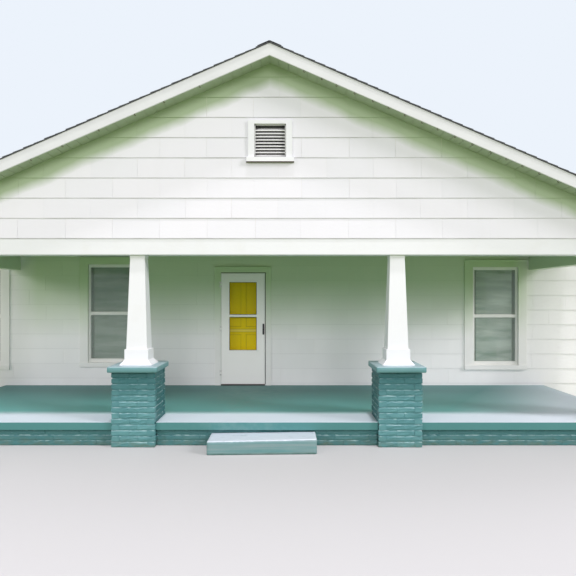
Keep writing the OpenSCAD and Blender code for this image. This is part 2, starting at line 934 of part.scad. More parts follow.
// Heights of the storm door's two panes, as [foot, top]
storm_panes = [
  [porch_z + storm_glass_z, porch_z + storm_bar_z - storm_bar_h / 2],
  [porch_z + storm_bar_z + storm_bar_h / 2, porch_z + leaf_top - storm_top_rail_h]
];
storm_glass_x = leaf_w / 2 - storm_stile_w;

module storm_door() {
  color(white) {
    at_door() difference() {
      block([-leaf_w / 2, storm_y, leaf_z], [leaf_w / 2, storm_y + storm_t, leaf_z + leaf_h]);
      for (p = storm_panes)
        block([-storm_glass_x, storm_y - 1, p[0]], [storm_glass_x, storm_y + storm_t + 1, p[1]]);
    }
    at_hinges(true) turning_hinge();
  }
}

module storm_door_glass() {
  y = storm_y + storm_t / 2;
  color(pane) at_door() for (p = storm_panes)
    block([-storm_glass_x, y - glass_t / 2, p[0]], [storm_glass_x, y + glass_t / 2, p[1]]);
}

// A grip on two posts
module storm_door_pull() {
  x = leaf_w / 2 - pull_in;
  z0 = porch_z + pull_z - pull_h / 2;
  color(dark) at_door() {
    translate([x, storm_y - pull_out + pull_r, z0]) cylinder(r = pull_r, h = pull_h);
    for (z = [z0 + 1.5 * pull_r, z0 + pull_h - 1.5 * pull_r])
      translate([x, storm_y, z]) rotate([90, 0, 0]) cylinder(r = pull_r, h = pull_out - pull_r);
  }
}

module front_door() {
  x = leaf_w / 2 - front_stile_w;
  m = front_mullion_w / 2;
  belt_x = clear_half - stop_t - 2 * leaf_gap;
  belt = porch_z + belt_z;
  panels = [
    [leaf_z + front_bottom_rail_h, belt - lock_rail_h / 2],
    [belt + lock_rail_h / 2, leaf_z + leaf_h - front_top_rail_h]
  ];
  color(yellow) {
    at_door() difference() {
      union() {
        block([-leaf_w / 2, front_leaf_y, leaf_z], [leaf_w / 2, room_y, leaf_z + leaf_h]);
        block([-belt_x, front_leaf_y - belt_out, belt - belt_h / 2],
              [belt_x, front_leaf_y + 1, belt + belt_h / 2]);
      }
      for (p = panels, side = [[-x, -m], [m, x]])
        block([side[0], front_leaf_y - 1, p[0]], [side[1], front_leaf_y + panel_depth, p[1]]);
    }
    at_hinges(false) turning_hinge();
  }
}

// A turned knob on its rose, drawn with the door's face at z = 0
module knob() {
  rotate_extrude() polygon(concat(
    [[0, 0], [1.1 * knob_r, 0], [1.1 * knob_r, 0.6 * rose_t], [0.9 * knob_r, rose_t],
     [knob_neck_r, 1.1 * rose_t], [knob_neck_r, knob_out - 1.4 * knob_r]],
    [for (a = [-45 : 15 : 90]) [knob_r * cos(a), knob_out - 0.75 * knob_r + 0.75 * knob_r * sin(a)]]
  ));
}

module front_door_knobs() {
  x = leaf_w / 2 - knob_in;
  z = porch_z + belt_z - knob_drop;
  color(steel) at_door() {
    translate([x, front_leaf_y, z]) rotate([90, 0, 0]) knob();
    translate([x, room_y, z]) rotate([-90, 0, 0]) knob();
  }
}

foundation_ends();
foundation_sides();
porch_foundation();
porch_slab();
entry_step();
brick_piers();
pier_caps();
column_bases();
porch_columns();
porch_front_beam();
porch_side_beams();
porch_ceiling();
porch_gable_wall();
vent_casings();
vent_louvres();
front_wall_left();
front_wall_right();
front_wall_head();
side_walls();
rear_wall();
gable_walls();
house_floor();
house_ceiling();
roof_deck_left();
roof_deck_right();
shingles_left();
shingles_right();
ridge_caps();
rake_boards_left();
rake_boards_right();
eave_fascias();
window_casings();
window_sashes();
window_glass();
window_shades();
door_jambs();
door_head();
door_sill();
door_hinges();
storm_door();
storm_door_glass();
storm_door_pull();
front_door();
front_door_knobs();
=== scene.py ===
import math

import bpy
import numpy as np
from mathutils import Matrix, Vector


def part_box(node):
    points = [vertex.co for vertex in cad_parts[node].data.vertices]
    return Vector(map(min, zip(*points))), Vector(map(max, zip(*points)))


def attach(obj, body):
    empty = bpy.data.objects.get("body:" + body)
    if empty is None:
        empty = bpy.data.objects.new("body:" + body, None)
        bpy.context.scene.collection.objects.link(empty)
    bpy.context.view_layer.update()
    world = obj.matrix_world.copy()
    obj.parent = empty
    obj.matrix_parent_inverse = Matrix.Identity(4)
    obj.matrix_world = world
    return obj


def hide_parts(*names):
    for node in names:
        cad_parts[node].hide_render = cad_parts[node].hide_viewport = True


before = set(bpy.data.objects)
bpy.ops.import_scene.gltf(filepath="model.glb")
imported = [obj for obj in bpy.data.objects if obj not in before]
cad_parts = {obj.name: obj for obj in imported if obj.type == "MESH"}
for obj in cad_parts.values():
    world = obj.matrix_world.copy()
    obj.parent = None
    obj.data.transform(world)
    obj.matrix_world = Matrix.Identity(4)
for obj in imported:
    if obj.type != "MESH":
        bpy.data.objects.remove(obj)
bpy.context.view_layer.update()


# Foundation and pier brickwork
# Rough-faced clay bricks in running bond. The bed joints are raked back, the upright joints are flush,
# and teal masonry paint covers brick and mortar alike, pale on the top arrises with wear and painted
# highlight.

brick_length, brick_depth, brick_height = 0.2185, 0.098, 0.064
bed_joint, joint_rake = 0.011, 0.012
brick_ledge, brick_end, brick_roughness = 0.010, 0.0012, 0.0022
brick_setback, setback_spread = 0.002, 0.004
brick_planes = [(0, 0.03, 0.26, 0.5, 0.74, 0.97, 1), (0, 1), (0, 0.14, 0.5, 0.8, 1)]
plain_planes = [(0, 1), (0, 1), (0, 1)]
ledge_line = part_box("porch_slab")[0].y + 0.02
ledge_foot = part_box("porch_slab")[0].z


def screen(red, green, blue):
    """A colour seen on a screen as 0 to 255, as the linear light that the shaders count in."""
    c = np.array([red, green, blue]) / 255
    return tuple(np.where(c <= 0.04045, c / 12.92, ((c + 0.055) / 1.055) ** 2.4)) + (1.0,)


class Field:
    """A number or a colour that a shader node gives at each point of a surface. Sums, differences
    and products of fields, and of a field and a number, are fields too."""

    def __init__(self, owner, socket):
        self.owner, self.socket = owner, socket

    def __add__(self, other):
        return worked_out("ADD", self, other)

    def __sub__(self, other):
        return worked_out("SUBTRACT", self, other)

    def __mul__(self, other):
        return worked_out("MULTIPLY", self, other)

    def __abs__(self):
        return worked_out("ABSOLUTE", self, 0)


def add_node(owner, kind, inputs, **settings):
    """A shader node of a finish or a world. Each input is a number, a colour or a field."""
    node = owner.node_tree.nodes.new("ShaderNode" + kind)
    for key, value in settings.items():
        setattr(node, key, value)
    for key, value in inputs.items():
        if isinstance(value, Field):
            owner.node_tree.links.new(value.socket, node.inputs[key])
        else:
            node.inputs[key].default_value = value
    return node


def field(owner, kind, output, inputs, **settings):
    """One output of a new shader node, as a field."""
    return Field(owner, add_node(owner, kind, inputs, **settings).outputs[output])


def worked_out(operation, first, second):
    """The outcome of one operation on two fields, or on a field and a number."""
    return field(first.owner, "Math", "Value", {0: first, 1: second}, operation=operation)


def coordinate(finish, axis):
    """Where a point of a piece lies along X, Y or Z, in metres."""
    return field(finish, "SeparateXYZ", axis, {"Vector": field(finish, "TexCoord", "Object", {})})


def speckle(finish, scale, stretch=(1, 1, 1), detail=3.0):
    """Smooth noise from 0 to 1 over a piece's own metres: scale is blotches a metre, more along an
    axis where stretch is above 1."""
    place = field(finish, "TexCoord", "Object", {})
    spread = field(finish, "Mapping", "Vector", {"Vector": place, "Scale": stretch})
    return field(finish, "TexNoise", "Fac", {"Vector": spread, "Scale": scale, "Detail": detail})


def carried(finish, name):
    """A number that the mesh carries at each of its points."""
    return field(finish, "Attribute", "Fac", {}, attribute_name=name)


def graded(value, start, end):
    """0 where value is at start or short of it and 1 from end on, with a straight rise between."""
    limits = {"Value": value, "From Min": start, "From Max": end}
    return field(value.owner, "MapRange", "Result", limits)


def blended(share, first, second):
    """A colour between first and second, by share from 0 to 1. Each is a field, or a colour as on a
    screen. A mix node has its share in socket 0 and its two colours in 6 and 7, and gives their mix
    in output 2."""
    first, second = [tone if isinstance(tone, Field) else screen(*tone) for tone in (first, second)]
    return field(share.owner, "Mix", 2, {0: share, 6: first, 7: second}, data_type="RGBA")


def new_finish(name, colour, roughness, **fixed):
    """A finish with one principled shader, whose fixed numbers are set on its own sockets. Colour, as
    on a screen, is what shows where the nodes that paint it can't be read."""
    finish = bpy.data.materials.new(name)
    finish.use_nodes = True
    sockets = finish.node_tree.nodes["Principled BSDF"].inputs
    sockets["Base Color"].default_value = screen(*colour)
    sockets["Roughness"].default_value = roughness
    for socket, value in fixed.items():
        sockets[socket.replace("_", " ")].default_value = value
    return finish


def painted(finish, colour, relief=None, depth=0.0):
    """Gives a finish its worked-out colour, and raises it by relief, from 0 to 1, times depth in
    metres, as bump."""
    sockets = finish.node_tree.nodes["Principled BSDF"].inputs
    finish.node_tree.links.new(colour.socket, sockets["Base Color"])
    if relief is not None:
        bump = field(finish, "Bump", "Normal", {"Height": relief, "Distance": depth, "Strength": 1.0})
        finish.node_tree.links.new(bump.socket, sockets["Normal"])
    return finish


def mottled(name, colour, tones, pattern, roughness, relief=None, depth=0.0, **fixed):
    """A finish in two tones that a speckle blends. Pattern and relief are the scale, stretch and
    detail of the speckles for its colour and its bump."""
    finish = new_finish(name, colour, roughness, **fixed)
    raised = speckle(finish, *relief) if relief else None
    return painted(finish, blended(speckle(finish, *pattern), *tones), raised, depth)


def points_at(x, y, z):
    """A row for each point, from columns of x, y and z. A column can be a single number."""
    return np.stack(np.broadcast_arrays(x, y, z), 1)


def repeated(quads, size, count):
    """The quads of each of count copies of a shape that has size points."""
    return (quads + size * np.arange(count)[:, None, None]).reshape(-1, 4)


def block_skin(u, v, w):
    """The outside of a block: the points of the lattice u by v by w that lie on one of its faces, and
    the quads between neighbours. Each array runs from 0 to 1 and places one axis's planes."""
    counts = np.array([len(u), len(v), len(w)])
    index = np.indices(counts).reshape(3, -1).T
    outside = ((index == 0) | (index == counts - 1)).any(1)
    number = (np.cumsum(outside) - 1).reshape(counts)
    points = np.stack([u[index[:, 0]], v[index[:, 1]], w[index[:, 2]]], 1)[outside]
    quads = []
    for axis in range(3):
        for end in (0, -1):
            sheet = np.take(number, end, axis)
            a, b, c, d = sheet[:-1, :-1], sheet[1:, :-1], sheet[1:, 1:], sheet[:-1, 1:]
            ring = [a, b, c, d] if (end == -1) == (axis != 1) else [a, d, c, b]
            quads.append(np.stack(ring, -1).reshape(-1, 4))
    return points, np.concatenate(quads)


def inward_at(unit):
    """For each axis 1 on a block's low face, -1 on its high face and 0 between, at places in the
    block from 0 to 1."""
    return (unit < 1e-6).astype(float) - (unit > 1 - 1e-6)


def blocks(low, high, planes, arris=0.0):
    """One block for each pair of low and high corners, N by 3. A point on n faces at once moves in
    from each of them by arris times 1 less 1 over the root of n, which rounds edges and corners.
    Returns the points, N by P by 3, the quads, and each point's place in its block from 0 to 1."""
    low, high = np.atleast_2d(low).astype(float), np.atleast_2d(high).astype(float)
    unit, quads = block_skin(*[np.array(p, float) for p in planes])
    inward = inward_at(unit)
    faces = np.abs(inward).sum(1, keepdims=True)
    shift = inward * arris * (1 - 1 / np.sqrt(faces))
    points = low[:, None] + unit * (high - low)[:, None] + shift
    return points, repeated(quads, len(unit), len(low)), unit


def set_out(points, origin, along, up=(0, 0, 1)):
    """Points given as (along, inward, up) on a face that starts at origin. Along runs to the right as
    the face is seen from outside, and inward is the cross product of up and along."""
    axes = np.array([along, np.cross(up, along), up], float)
    return np.asarray(origin, float) + points @ axes


def joined(runs):
    """Several runs as one: each is its points, its quads, and any numbers that its points carry."""
    points, quads, *numbers = zip(*runs)
    points = [p.reshape(-1, 3) for p in points]
    starts = np.cumsum([0] + [len(p) for p in points])
    return (np.concatenate(points), np.concatenate([q + s for q, s in zip(quads, starts)]),
            *[np.concatenate([np.ravel(part) for part in number]) for number in numbers])


def new_object(name, data):
    """An object of the scene, at the origin until it is set elsewhere."""
    thing = bpy.data.objects.new(name, data)
    bpy.context.scene.collection.objects.link(thing)
    return thing


def new_piece(name, points, quads, finish, slot, body="house", smooth=False, nodes=(), **carries):
    """A mesh piece at the origin from points and quads, with a named number at each point for each of
    carries. It rides on a body, takes the finish given, and stands for the CAD nodes, which it hides.
    Slot is not used."""
    mesh = bpy.data.meshes.new(name)
    mesh.vertices.add(points.size // 3)
    mesh.vertices.foreach_set("co", points.astype(np.float32).ravel())
    mesh.loops.add(quads.size)
    mesh.loops.foreach_set("vertex_index", quads.astype(np.int32).ravel())
    mesh.polygons.add(len(quads))
    mesh.polygons.foreach_set("loop_start", np.arange(0, quads.size, 4, dtype=np.int32))
    mesh.polygons.foreach_set("use_smooth", np.full(len(quads), smooth))
    mesh.update(calc_edges=True)
    for key, value in carries.items():
        attribute = mesh.attributes.new(key, "FLOAT", "POINT")
        attribute.data.foreach_set("value", value.astype(np.float32).ravel())
    mesh.materials.append(finish)
    piece = new_object(name, mesh)
    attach(piece, body)
    if nodes:
        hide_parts(*nodes)


def solids(node):
    """The separate solids of a CAD node as an array of (low corner, high corner), from left to
    right: triangles that share a corner belong together."""
    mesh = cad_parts[node].data
    points = np.empty(len(mesh.vertices) * 3, np.float32)
    mesh.vertices.foreach_get("co", points)
    places, same = np.unique(points.reshape(-1, 3).round(5), axis=0, return_inverse=True)
    corners = np.empty(len(mesh.loops), np.int32)
    mesh.loops.foreach_get("vertex_index", corners)
    triangles = same.ravel()[corners].reshape(-1, 3)
    label, before = np.arange(len(places)), None
    while before is None or (label != before).any():
        before = label.copy()
        np.minimum.at(label, triangles, before[triangles].min(1, keepdims=True))
        label = label[label]
    found = [(places[label == k].min(0), places[label == k].max(0)) for k in np.unique(label)]
    return np.array(sorted(found, key=lambda box: tuple(box[0].round(3))), float)


def front_to_back(node):
    """A CAD node's solids in the order of their front faces."""
    boxes = solids(node)
    return boxes[np.argsort(boxes[:, 0, 1])]


def teal_masonry():
    """Teal masonry paint: blotchy, splashed with soil near the ground, and pale on the bricks' top
    arrises, partly with wear and partly as a painted highlight, more so towards the ground. Painted
    shade darkens it under the caps and behind and under the porch floor's edge."""
    finish = new_finish("teal_masonry", (84, 142, 145), 0.45)
    height = coordinate(finish, "Z")
    blotches = blended(speckle(finish, 7), (68, 126, 131), (94, 150, 153))
    bricks = blended(carried(finish, "tone") * 0.35, blotches, (104, 158, 160))
    # Painted shade: darker under the caps, and behind and under the porch floor's edge.
    back = graded(coordinate(finish, "Y"), ledge_line, ledge_line + 0.02)
    under = graded(height, ledge_foot - 0.05, ledge_foot - 0.01) * 0.5 + 0.4
    kept = worked_out("MAXIMUM", graded(height, 0.58, 0.9) * 0.95, back * under)
    bricks = blended(kept, bricks, (30, 96, 97))
    # The bricks' top arrises are pale, partly with wear and partly as a painted highlight, paler
    # towards the ground.
    paler_towards_ground = graded(height, 1.0, 0.45) * 0.75 + 0.25
    worn = carried(finish, "arris") * graded(speckle(finish, 9), 0.34, 0.58) * paler_towards_ground
    pale_arrises = blended(worn, bricks, (182, 212, 214))
    soil = graded(height, 0.14, 0.02) * graded(speckle(finish, 9, (1, 1, 2.5)), 0.35, 0.75)
    pits = speckle(finish, 60, detail=5) + speckle(finish, 190)
    return painted(finish, blended(soil, pale_arrises, (94, 118, 106)), pits, 0.0035)


masonry_paint = teal_masonry()


def course_ends(length, row, ring):
    """Where the bricks of one course start, and where the last one ends. In a ring, courses run out
    to the left corner and to the right one by turns, and stop a brick's depth short at the other."""
    start, stop = 0, length
    if ring:
        start, stop = ((0, length - brick_depth), (brick_depth, length))[row % 2]
    ends = np.linspace(start, stop, max(1, round((stop - start) / brick_length)) + 1)
    if not ring and row % 2:
        ends = np.r_[start, (ends[1:] + ends[:-1]) / 2, stop]
    return ends


def brick_run(origin, along, length, height, ring, seed):
    """The bricks of one face, laid in courses from the ground: returns points, quads, and the
    brick's tone and nearness to an arris at each point."""
    rng = np.random.default_rng(seed)
    rows = max(1, round(height / (brick_height + bed_joint)))
    pitch = height / rows
    low, high = [], []
    for row in range(rows):
        ends = course_ends(length, row, ring)
        foot = row * pitch + bed_joint / 2
        low.append(points_at(ends[:-1], 0, foot))
        high.append(points_at(ends[1:], brick_depth, foot + pitch - bed_joint))
    low, high = np.concatenate(low), np.concatenate(high)
    unevenness = np.abs(rng.normal(0, brick_roughness, len(low))).clip(0, setback_spread)
    low[:, 1] += brick_setback + unevenness
    points, quads, unit = blocks(low, high, brick_planes)
    face, head, foot = unit[:, 1] < 0.5, unit[:, 2] > 0.99, unit[:, 2] < 0.01
    end = (unit[:, 0] < 0.01) | (unit[:, 0] > 0.99)
    back = face * (brick_ledge * (head + 0.35 * foot) + brick_end * end)
    rough = rng.normal(0, 1, points.shape) * (brick_roughness * np.array([0.3, 0.7, 1.1]))
    points = points + rough * face[:, None]
    points[..., 1] += back * rng.uniform(0.5, 1.5, points.shape[:2])
    tone = np.repeat(rng.uniform(0, 1, len(low)), len(unit))
    arris = np.tile((face & head).astype(float), len(low))
    return set_out(points, origin, along), quads, tone, arris


def mortar(low, high):
    """The joints between bricks: a block that lies a joint's rake behind the bricks' faces."""
    inset = np.array([joint_rake, joint_rake, 0])
    points, quads, unit = blocks(low + inset, high - inset, plain_planes)
    return points, quads, np.full(len(unit), 0.3), np.zeros(len(unit))


def ring_of_bricks(low, high, seed):
    """Brickwork round the four faces of a box that stands on the ground."""
    (x0, y0, _), (x1, y1, top) = low, high
    faces = [((x0, y0, 0), (1, 0, 0), x1 - x0), ((x1, y0, 0), (0, 1, 0), y1 - y0),
             ((x1, y1, 0), (-1, 0, 0), x1 - x0), ((x0, y1, 0), (0, -1, 0), y1 - y0)]
    return [brick_run(*face, top, True, seed + k) for k, face in enumerate(faces)]


def brickwork(name, runs, *nodes):
    """Joins runs of bricks and mortar into one piece that stands for CAD nodes."""
    points, quads, tone, arris = joined(runs)
    new_piece(name, points, quads, masonry_paint, "teal_masonry", nodes=nodes, tone=tone, arris=arris)


house_runs = ring_of_bricks(*np.array(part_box("foundation_ends")), 11)
for box in np.concatenate([solids("foundation_ends"), solids("foundation_sides")]):
    house_runs.append(mortar(*box))
brickwork("house_brickwork", house_runs, "foundation_ends", "foundation_sides")

porch_runs = []
for number, (low, high) in enumerate(solids("porch_foundation")):
    size = high - low
    if size[0] > size[1]:
        face = ((low[0], low[1], 0), (1, 0, 0), size[0])
    elif low[0] > 0:
        face = ((high[0], low[1], 0), (0, 1, 0), size[1])
    else:
        face = ((low[0], high[1], 0), (0, -1, 0), size[1])
    porch_runs += [brick_run(*face, high[2], False, 31 + number), mortar(low, high)]
brickwork("porch_brickwork", porch_runs, "porch_foundation")

pier_runs = []
for number, (low, high) in enumerate(solids("brick_piers")):
    pier_runs += ring_of_bricks(low, high, 51 + 7 * number) + [mortar(low, high)]
brickwork("pier_brickwork", pier_runs, "brick_piers")


# Pier caps, entry step and porch floor
# Cast concrete under teal floor paint. The caps lie on the piers in mortar, the step was cast
# against the foundation, and their arrises are chipped and rounded where feet and rain wear them.

cap_arris, step_arris, slab_arris = 0.012, 0.012, 0.006
step_skew, step_tilt = 0.05, 0.018
porch_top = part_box("porch_slab")[1].z
sun_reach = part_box("porch_slab")[0].y + 0.6


def teal_floor_paint():
    """Teal floor paint with a low gloss: blotchy, scuffed grey where feet strike it, and paled on top
    as painted light, the more so the more it is trodden."""
    finish = new_finish("teal_floor_paint", (92, 144, 145), 0.42)
    trodden = carried(finish, "trodden")
    blotches = blended(speckle(finish, 3.5), (84, 136, 139), (104, 154, 155))
    scuffs = graded(speckle(finish, 5, (0.25, 1, 5), 6), 0.3, 0.65) * trodden
    streaked = blended(scuffs, blotches, (140, 160, 163))
    # Painted light: the tops are paler, the more so the more they are trodden.
    top = carried(finish, "top") * graded(speckle(finish, 9, detail=5), 0.0, 0.4)
    with_painted_light = blended(top * (trodden * 0.68 + 0.36), streaked, (214, 224, 232))
    return painted(finish, with_painted_light, speckle(finish, 35, detail=5) + speckle(finish, 160), 0.0012)


floor_paint = teal_floor_paint()


def even_planes(size, arris, spacing):
    """Places of a lattice's planes along one side: at both ends, an arris in, and evenly between."""
    edge = arris / size
    return np.r_[0, np.linspace(edge, 1 - edge, max(2, round(size / spacing) + 1)), 1]


def worn_blocks(name, node, arris, spacing, wear, seed, trodden, skew=0.0, tilt=0.0):
    """Cast blocks in place of a node's, whose faces wander a little and whose arrises are rounded and
    chipped: each edge point moves in by a random share of wear. Top is 1 on the upper face and 0
    elsewhere, and trodden is how much feet have scuffed it, which also sets how much painted light
    pales its top. Skew sets the right front corner back, and tilt is the top's rise from left to right."""
    rng = np.random.default_rng(seed)
    boxes = solids(node)
    size = (boxes[:, 1] - boxes[:, 0]).mean(0)
    planes = [even_planes(side, arris, spacing) for side in size]
    points, quads, unit = blocks(boxes[:, 0], boxes[:, 1], planes, arris)
    inward = inward_at(unit)
    edge = np.abs(inward).sum(1) > 1
    chips = rng.gamma(0.6, 1.0, points.shape[:2]).clip(0, 3)[..., None] * wear
    waver = rng.uniform(0, wear * 0.2, points.shape[:2])[..., None]
    points = points + inward * (chips * edge[:, None] + waver)
    points[..., 1] += skew * unit[:, 0] * (1 - unit[:, 1])
    points[..., 2] -= tilt * (1 - unit[:, 0]) * unit[:, 2]
    top = np.tile((unit[:, 2] > 1 - 1e-6).astype(float), len(boxes))
    new_piece(name, points, quads, floor_paint, "teal_concrete", smooth=True, nodes=(node,),
              top=top, trodden=np.full(len(top), trodden))


worn_blocks("concrete_pier_caps", "pier_caps", cap_arris, 0.04, 0.0012, 3, 0.1)
worn_blocks("cast_entry_step", "entry_step", step_arris, 0.025, 0.003, 5, 0.8, step_skew, step_tilt)


def dress(node, finish, arris=0.0):
    """Gives a CAD node its finish. Where arris is above 0, its loose triangles are welded and its
    arrises rounded wherever they turn by more than 35 degrees."""
    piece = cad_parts[node]
    for slot in piece.material_slots:
        slot.material = finish
    if arris:
        piece.modifiers.new("welded", "WELD").merge_threshold = 1e-5
        bevel = piece.modifiers.new("eased_arrises", "BEVEL")
        bevel.width, bevel.segments = arris, 2
        bevel.limit_method, bevel.angle_limit = "ANGLE", math.radians(35)


def porch_floor_paint():
    """The porch floor's paint: teal, with a low gloss that feet have worn dull in a path from the step
    to the door, and painted light that makes it paler towards the front, palest in a strip along the
    front edge, and pale at the right end."""
    finish = new_finish("porch_floor_paint", (96, 152, 152), 0.5, Specular_IOR_Level=0.3)
    x, y, z = [coordinate(finish, axis) for axis in "XYZ"]
    on_top = graded(z, porch_top - 0.004, porch_top - 0.001)
    blotches = blended(speckle(finish, 2.2), (74, 130, 130), (84, 140, 138))
    # Painted light: paler towards the front.
    painted_light_share = graded(y, sun_reach + 1.9, sun_reach + 0.1) * on_top
    blotches = blended(painted_light_share, blotches, (118, 196, 190))
    trodden = graded(abs(x + 0.4), 0.8, 0.25) * graded(speckle(finish, 9), 0.35, 0.75)
    dulled = blended(trodden * 0.3, blotches, (136, 166, 164))
    # Painted light: pale at the right end.
    painted_light_right = graded(x + y * -0.6, 4.0, 5.5) * on_top
    dulled = blended(painted_light_right * 0.95, dulled, (206, 218, 226))
    # Painted light: a pale strip along the front edge.
    painted_light_front = graded(y, sun_reach + 0.14, sun_reach - 0.1) * on_top
    with_painted_light = blended(painted_light_front * 0.92, dulled, (212, 222, 230))
    return painted(finish, with_painted_light, speckle(finish, 50, detail=5), 0.0008)


dress("porch_slab", porch_floor_paint(), slab_arris)


# Room floor, walls' inner faces and ceiling
# Narrow pine floorboards on joists, plastered walls and a plaster ceiling. They show through the
# open door and the windows.


def pine_floor():
    """Varnished pine boards 80 mm wide: each board has its own tone, grain along it and dark joints."""
    finish = new_finish("pine_floor", (168, 122, 78), 0.35, Coat_Weight=0.3)
    boards = add_node(finish, "TexBrick", {
        "Vector": field(finish, "TexCoord", "Object", {}), "Scale": 1.0, "Brick Width": 2.4,
        "Row Height": 0.08, "Mortar Size": 0.0012, "Color1": screen(178, 132, 86),
        "Color2": screen(150, 105, 66), "Mortar": screen(70, 48, 30)}).outputs
    grain = graded(speckle(finish, 14, (1, 14, 14), 6), 0.35, 0.7)
    grained = blended(grain * 0.4, Field(finish, boards["Color"]), (120, 80, 46))
    return painted(finish, grained, Field(finish, boards["Fac"]), -0.001)


dress("house_floor", pine_floor())
# Off-white painted plaster with a trowelled unevenness.
plaster = mottled("plaster", (226, 223, 214), ((220, 217, 208), (231, 228, 220)), (1.5,), 0.7,
                  (12, (1, 1, 1), 5), 0.001)
for node in ("front_wall_left", "front_wall_right", "front_wall_head", "side_walls", "rear_wall",
             "gable_walls", "porch_gable_wall", "house_ceiling"):
    dress(node, plaster)


# Siding
# Wide fibre-cement shingles, 0.61 m long and lapped, nailed in courses over the boarded walls in
# half bond and painted white. Each stands 10 mm proud at its foot. Slim boards close the corners.

board_length = 0.61
gable_course, wall_course = 0.261, 0.267
wall_bond, gable_bond = (0.11, 0.415), (0.40, 0.11)
board_foot_t, board_head_t = 0.0105, 0.0015
board_gap, board_lap, board_bed = 0.0032, 0.006, 0.001
least_board, least_strip, least_tip = 0.01, 0.002, 0.004
under_casing, under_vent_casing, hidden_by_roof = 0.04, 0.02, 0.04
corner_board_w, corner_board_t = 0.085, 0.02
roof_slope = 0.434
porch_shade_green = (172, 205, 140)

wall_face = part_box("front_wall_right")[0].y
rear_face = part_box("rear_wall")[1].y
house_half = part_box("side_walls")[1].x
room_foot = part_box("side_walls")[0].z - 0.012
eave_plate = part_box("rear_wall")[1].z
main_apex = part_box("gable_walls")[1].z
porch_half, _, porch_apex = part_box("porch_gable_wall")[1]
porch_ceiling_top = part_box("porch_ceiling")[1].z
beam_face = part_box("porch_front_beam")[0].y
beam_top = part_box("porch_front_beam")[1].z


def porch_shade(finish):
    """How thickly the porch's green painted shade lies, from 0 to 0.6, on the upper part of the wall
    within the porch.
    """
    x, y, z = [coordinate(finish, axis) for axis in "XYZ"]
    high = graded(z, porch_top + 0.85, porch_top + 1.9)
    below_ceiling = graded(z, porch_ceiling_top + 0.02, porch_ceiling_top)
    within = graded(abs(x), porch_half - 0.06, porch_half - 0.5)
    return high * below_ceiling * within * (graded(y, 1, 0) * 0.6)


def white_siding_paint(rake_shade_apex=None):
    """Matt white paint on fibre cement: each board a touch apart in tone, a fine upright grain, faint
    rain streaks, and a thin dark line under each lap, partly dust and partly painted shade. Below a
    roof whose underside peaks at rake_shade_apex, a green painted shade lies on the boards under the
    overhang, and on the house walls the porch's green painted shade lies on the upper boards within the
    porch."""
    finish = new_finish("white_siding_paint", (240, 240, 239), 0.62)
    whites = ((236, 236, 242), (240, 239, 245))
    if rake_shade_apex == main_apex:
        whites = ((240, 240, 238), (243, 243, 241))
    boards = blended(carried(finish, "tone"), *whites)
    streaks = graded(speckle(finish, 5, (1, 1, 0.12), 5), 0.5, 0.8)
    rained = blended(streaks * 0.14, boards, (226, 227, 226))
    # A thin dark line under each lap, partly dust and partly painted shade.
    lap_dust_and_shade = carried(finish, "lap") * graded(speckle(finish, 2.5), 0.1, 0.6)
    aged = blended(lap_dust_and_shade, rained, (164, 165, 162))
    # Painted shade: a green band under the overhang of each rake.
    if rake_shade_apex is not None:
        rise = coordinate(finish, "Z") + abs(coordinate(finish, "X")) * roof_slope
        uneven = rise + speckle(finish, 2.2) * 0.12
        rake_shade = graded(uneven, rake_shade_apex - 0.26, rake_shade_apex - 0.12)
        aged = blended(rake_shade * 0.8, aged, (152, 177, 126))
    # Painted shade: the porch's green shade on the house wall's upper boards.
    if rake_shade_apex == main_apex:
        aged = blended(porch_shade(finish), aged, porch_shade_green)
    return painted(finish, aged, speckle(finish, 120, (1, 1, 0.06), 3), 0.0006)


def less_cut(board, cuts):
    """What is left of a board (left, right, foot, top) beside, under and over rectangular cuts."""
    left = [board]
    for x0, x1, z0, z1 in cuts:
        rest = []
        for a, b, c, d in left:
            if b <= x0 or a >= x1 or d <= z0 or c >= z1:
                rest.append((a, b, c, d))
                continue
            rest += [(a, x0, c, d)] * (a < x0) + [(x1, b, c, d)] * (b > x1)
            a, b = max(a, x0), min(b, x1)
            rest += [(a, b, c, z0)] * (c < z0) + [(a, b, z1, d)] * (d > z1)
        left = rest
    return left


def course_boards(extent, first_line, pitch, cuts, bond, seed):
    """Boards in half bond over extent (left, right, foot, top): courses start at first_line plus
    whole pitches, and upright joints at the two places of the bond by turns. Each row is (left,
    right, foot, top, the course's own foot, tone, waver)."""
    rng = np.random.default_rng(seed)
    left, right, foot, top = extent
    rows = []
    for k in range(math.floor((foot - first_line) / pitch), math.ceil((top - first_line) / pitch)):
        line = first_line + k * pitch
        start = left - (left - bond[k % 2]) % board_length
        joints = np.arange(start, right + board_length, board_length)
        joints = joints + rng.normal(0, 0.008, len(joints))
        for a, b in zip(joints[:-1], joints[1:]):
            tone, waver = rng.uniform(), rng.normal(0, 0.0006)
            gap = board_gap * rng.uniform(0.1, 1) ** 2
            a, b = max(a + gap / 2, left), min(b - gap / 2, right)
            if b - a < least_board:
                continue
            board = (a, b, max(line, foot), min(line + pitch + board_lap, top))
            rows += [(*part, line, tone, waver) for part in less_cut(board, cuts)
                     if part[3] - part[2] > least_strip]
    return np.array(rows)


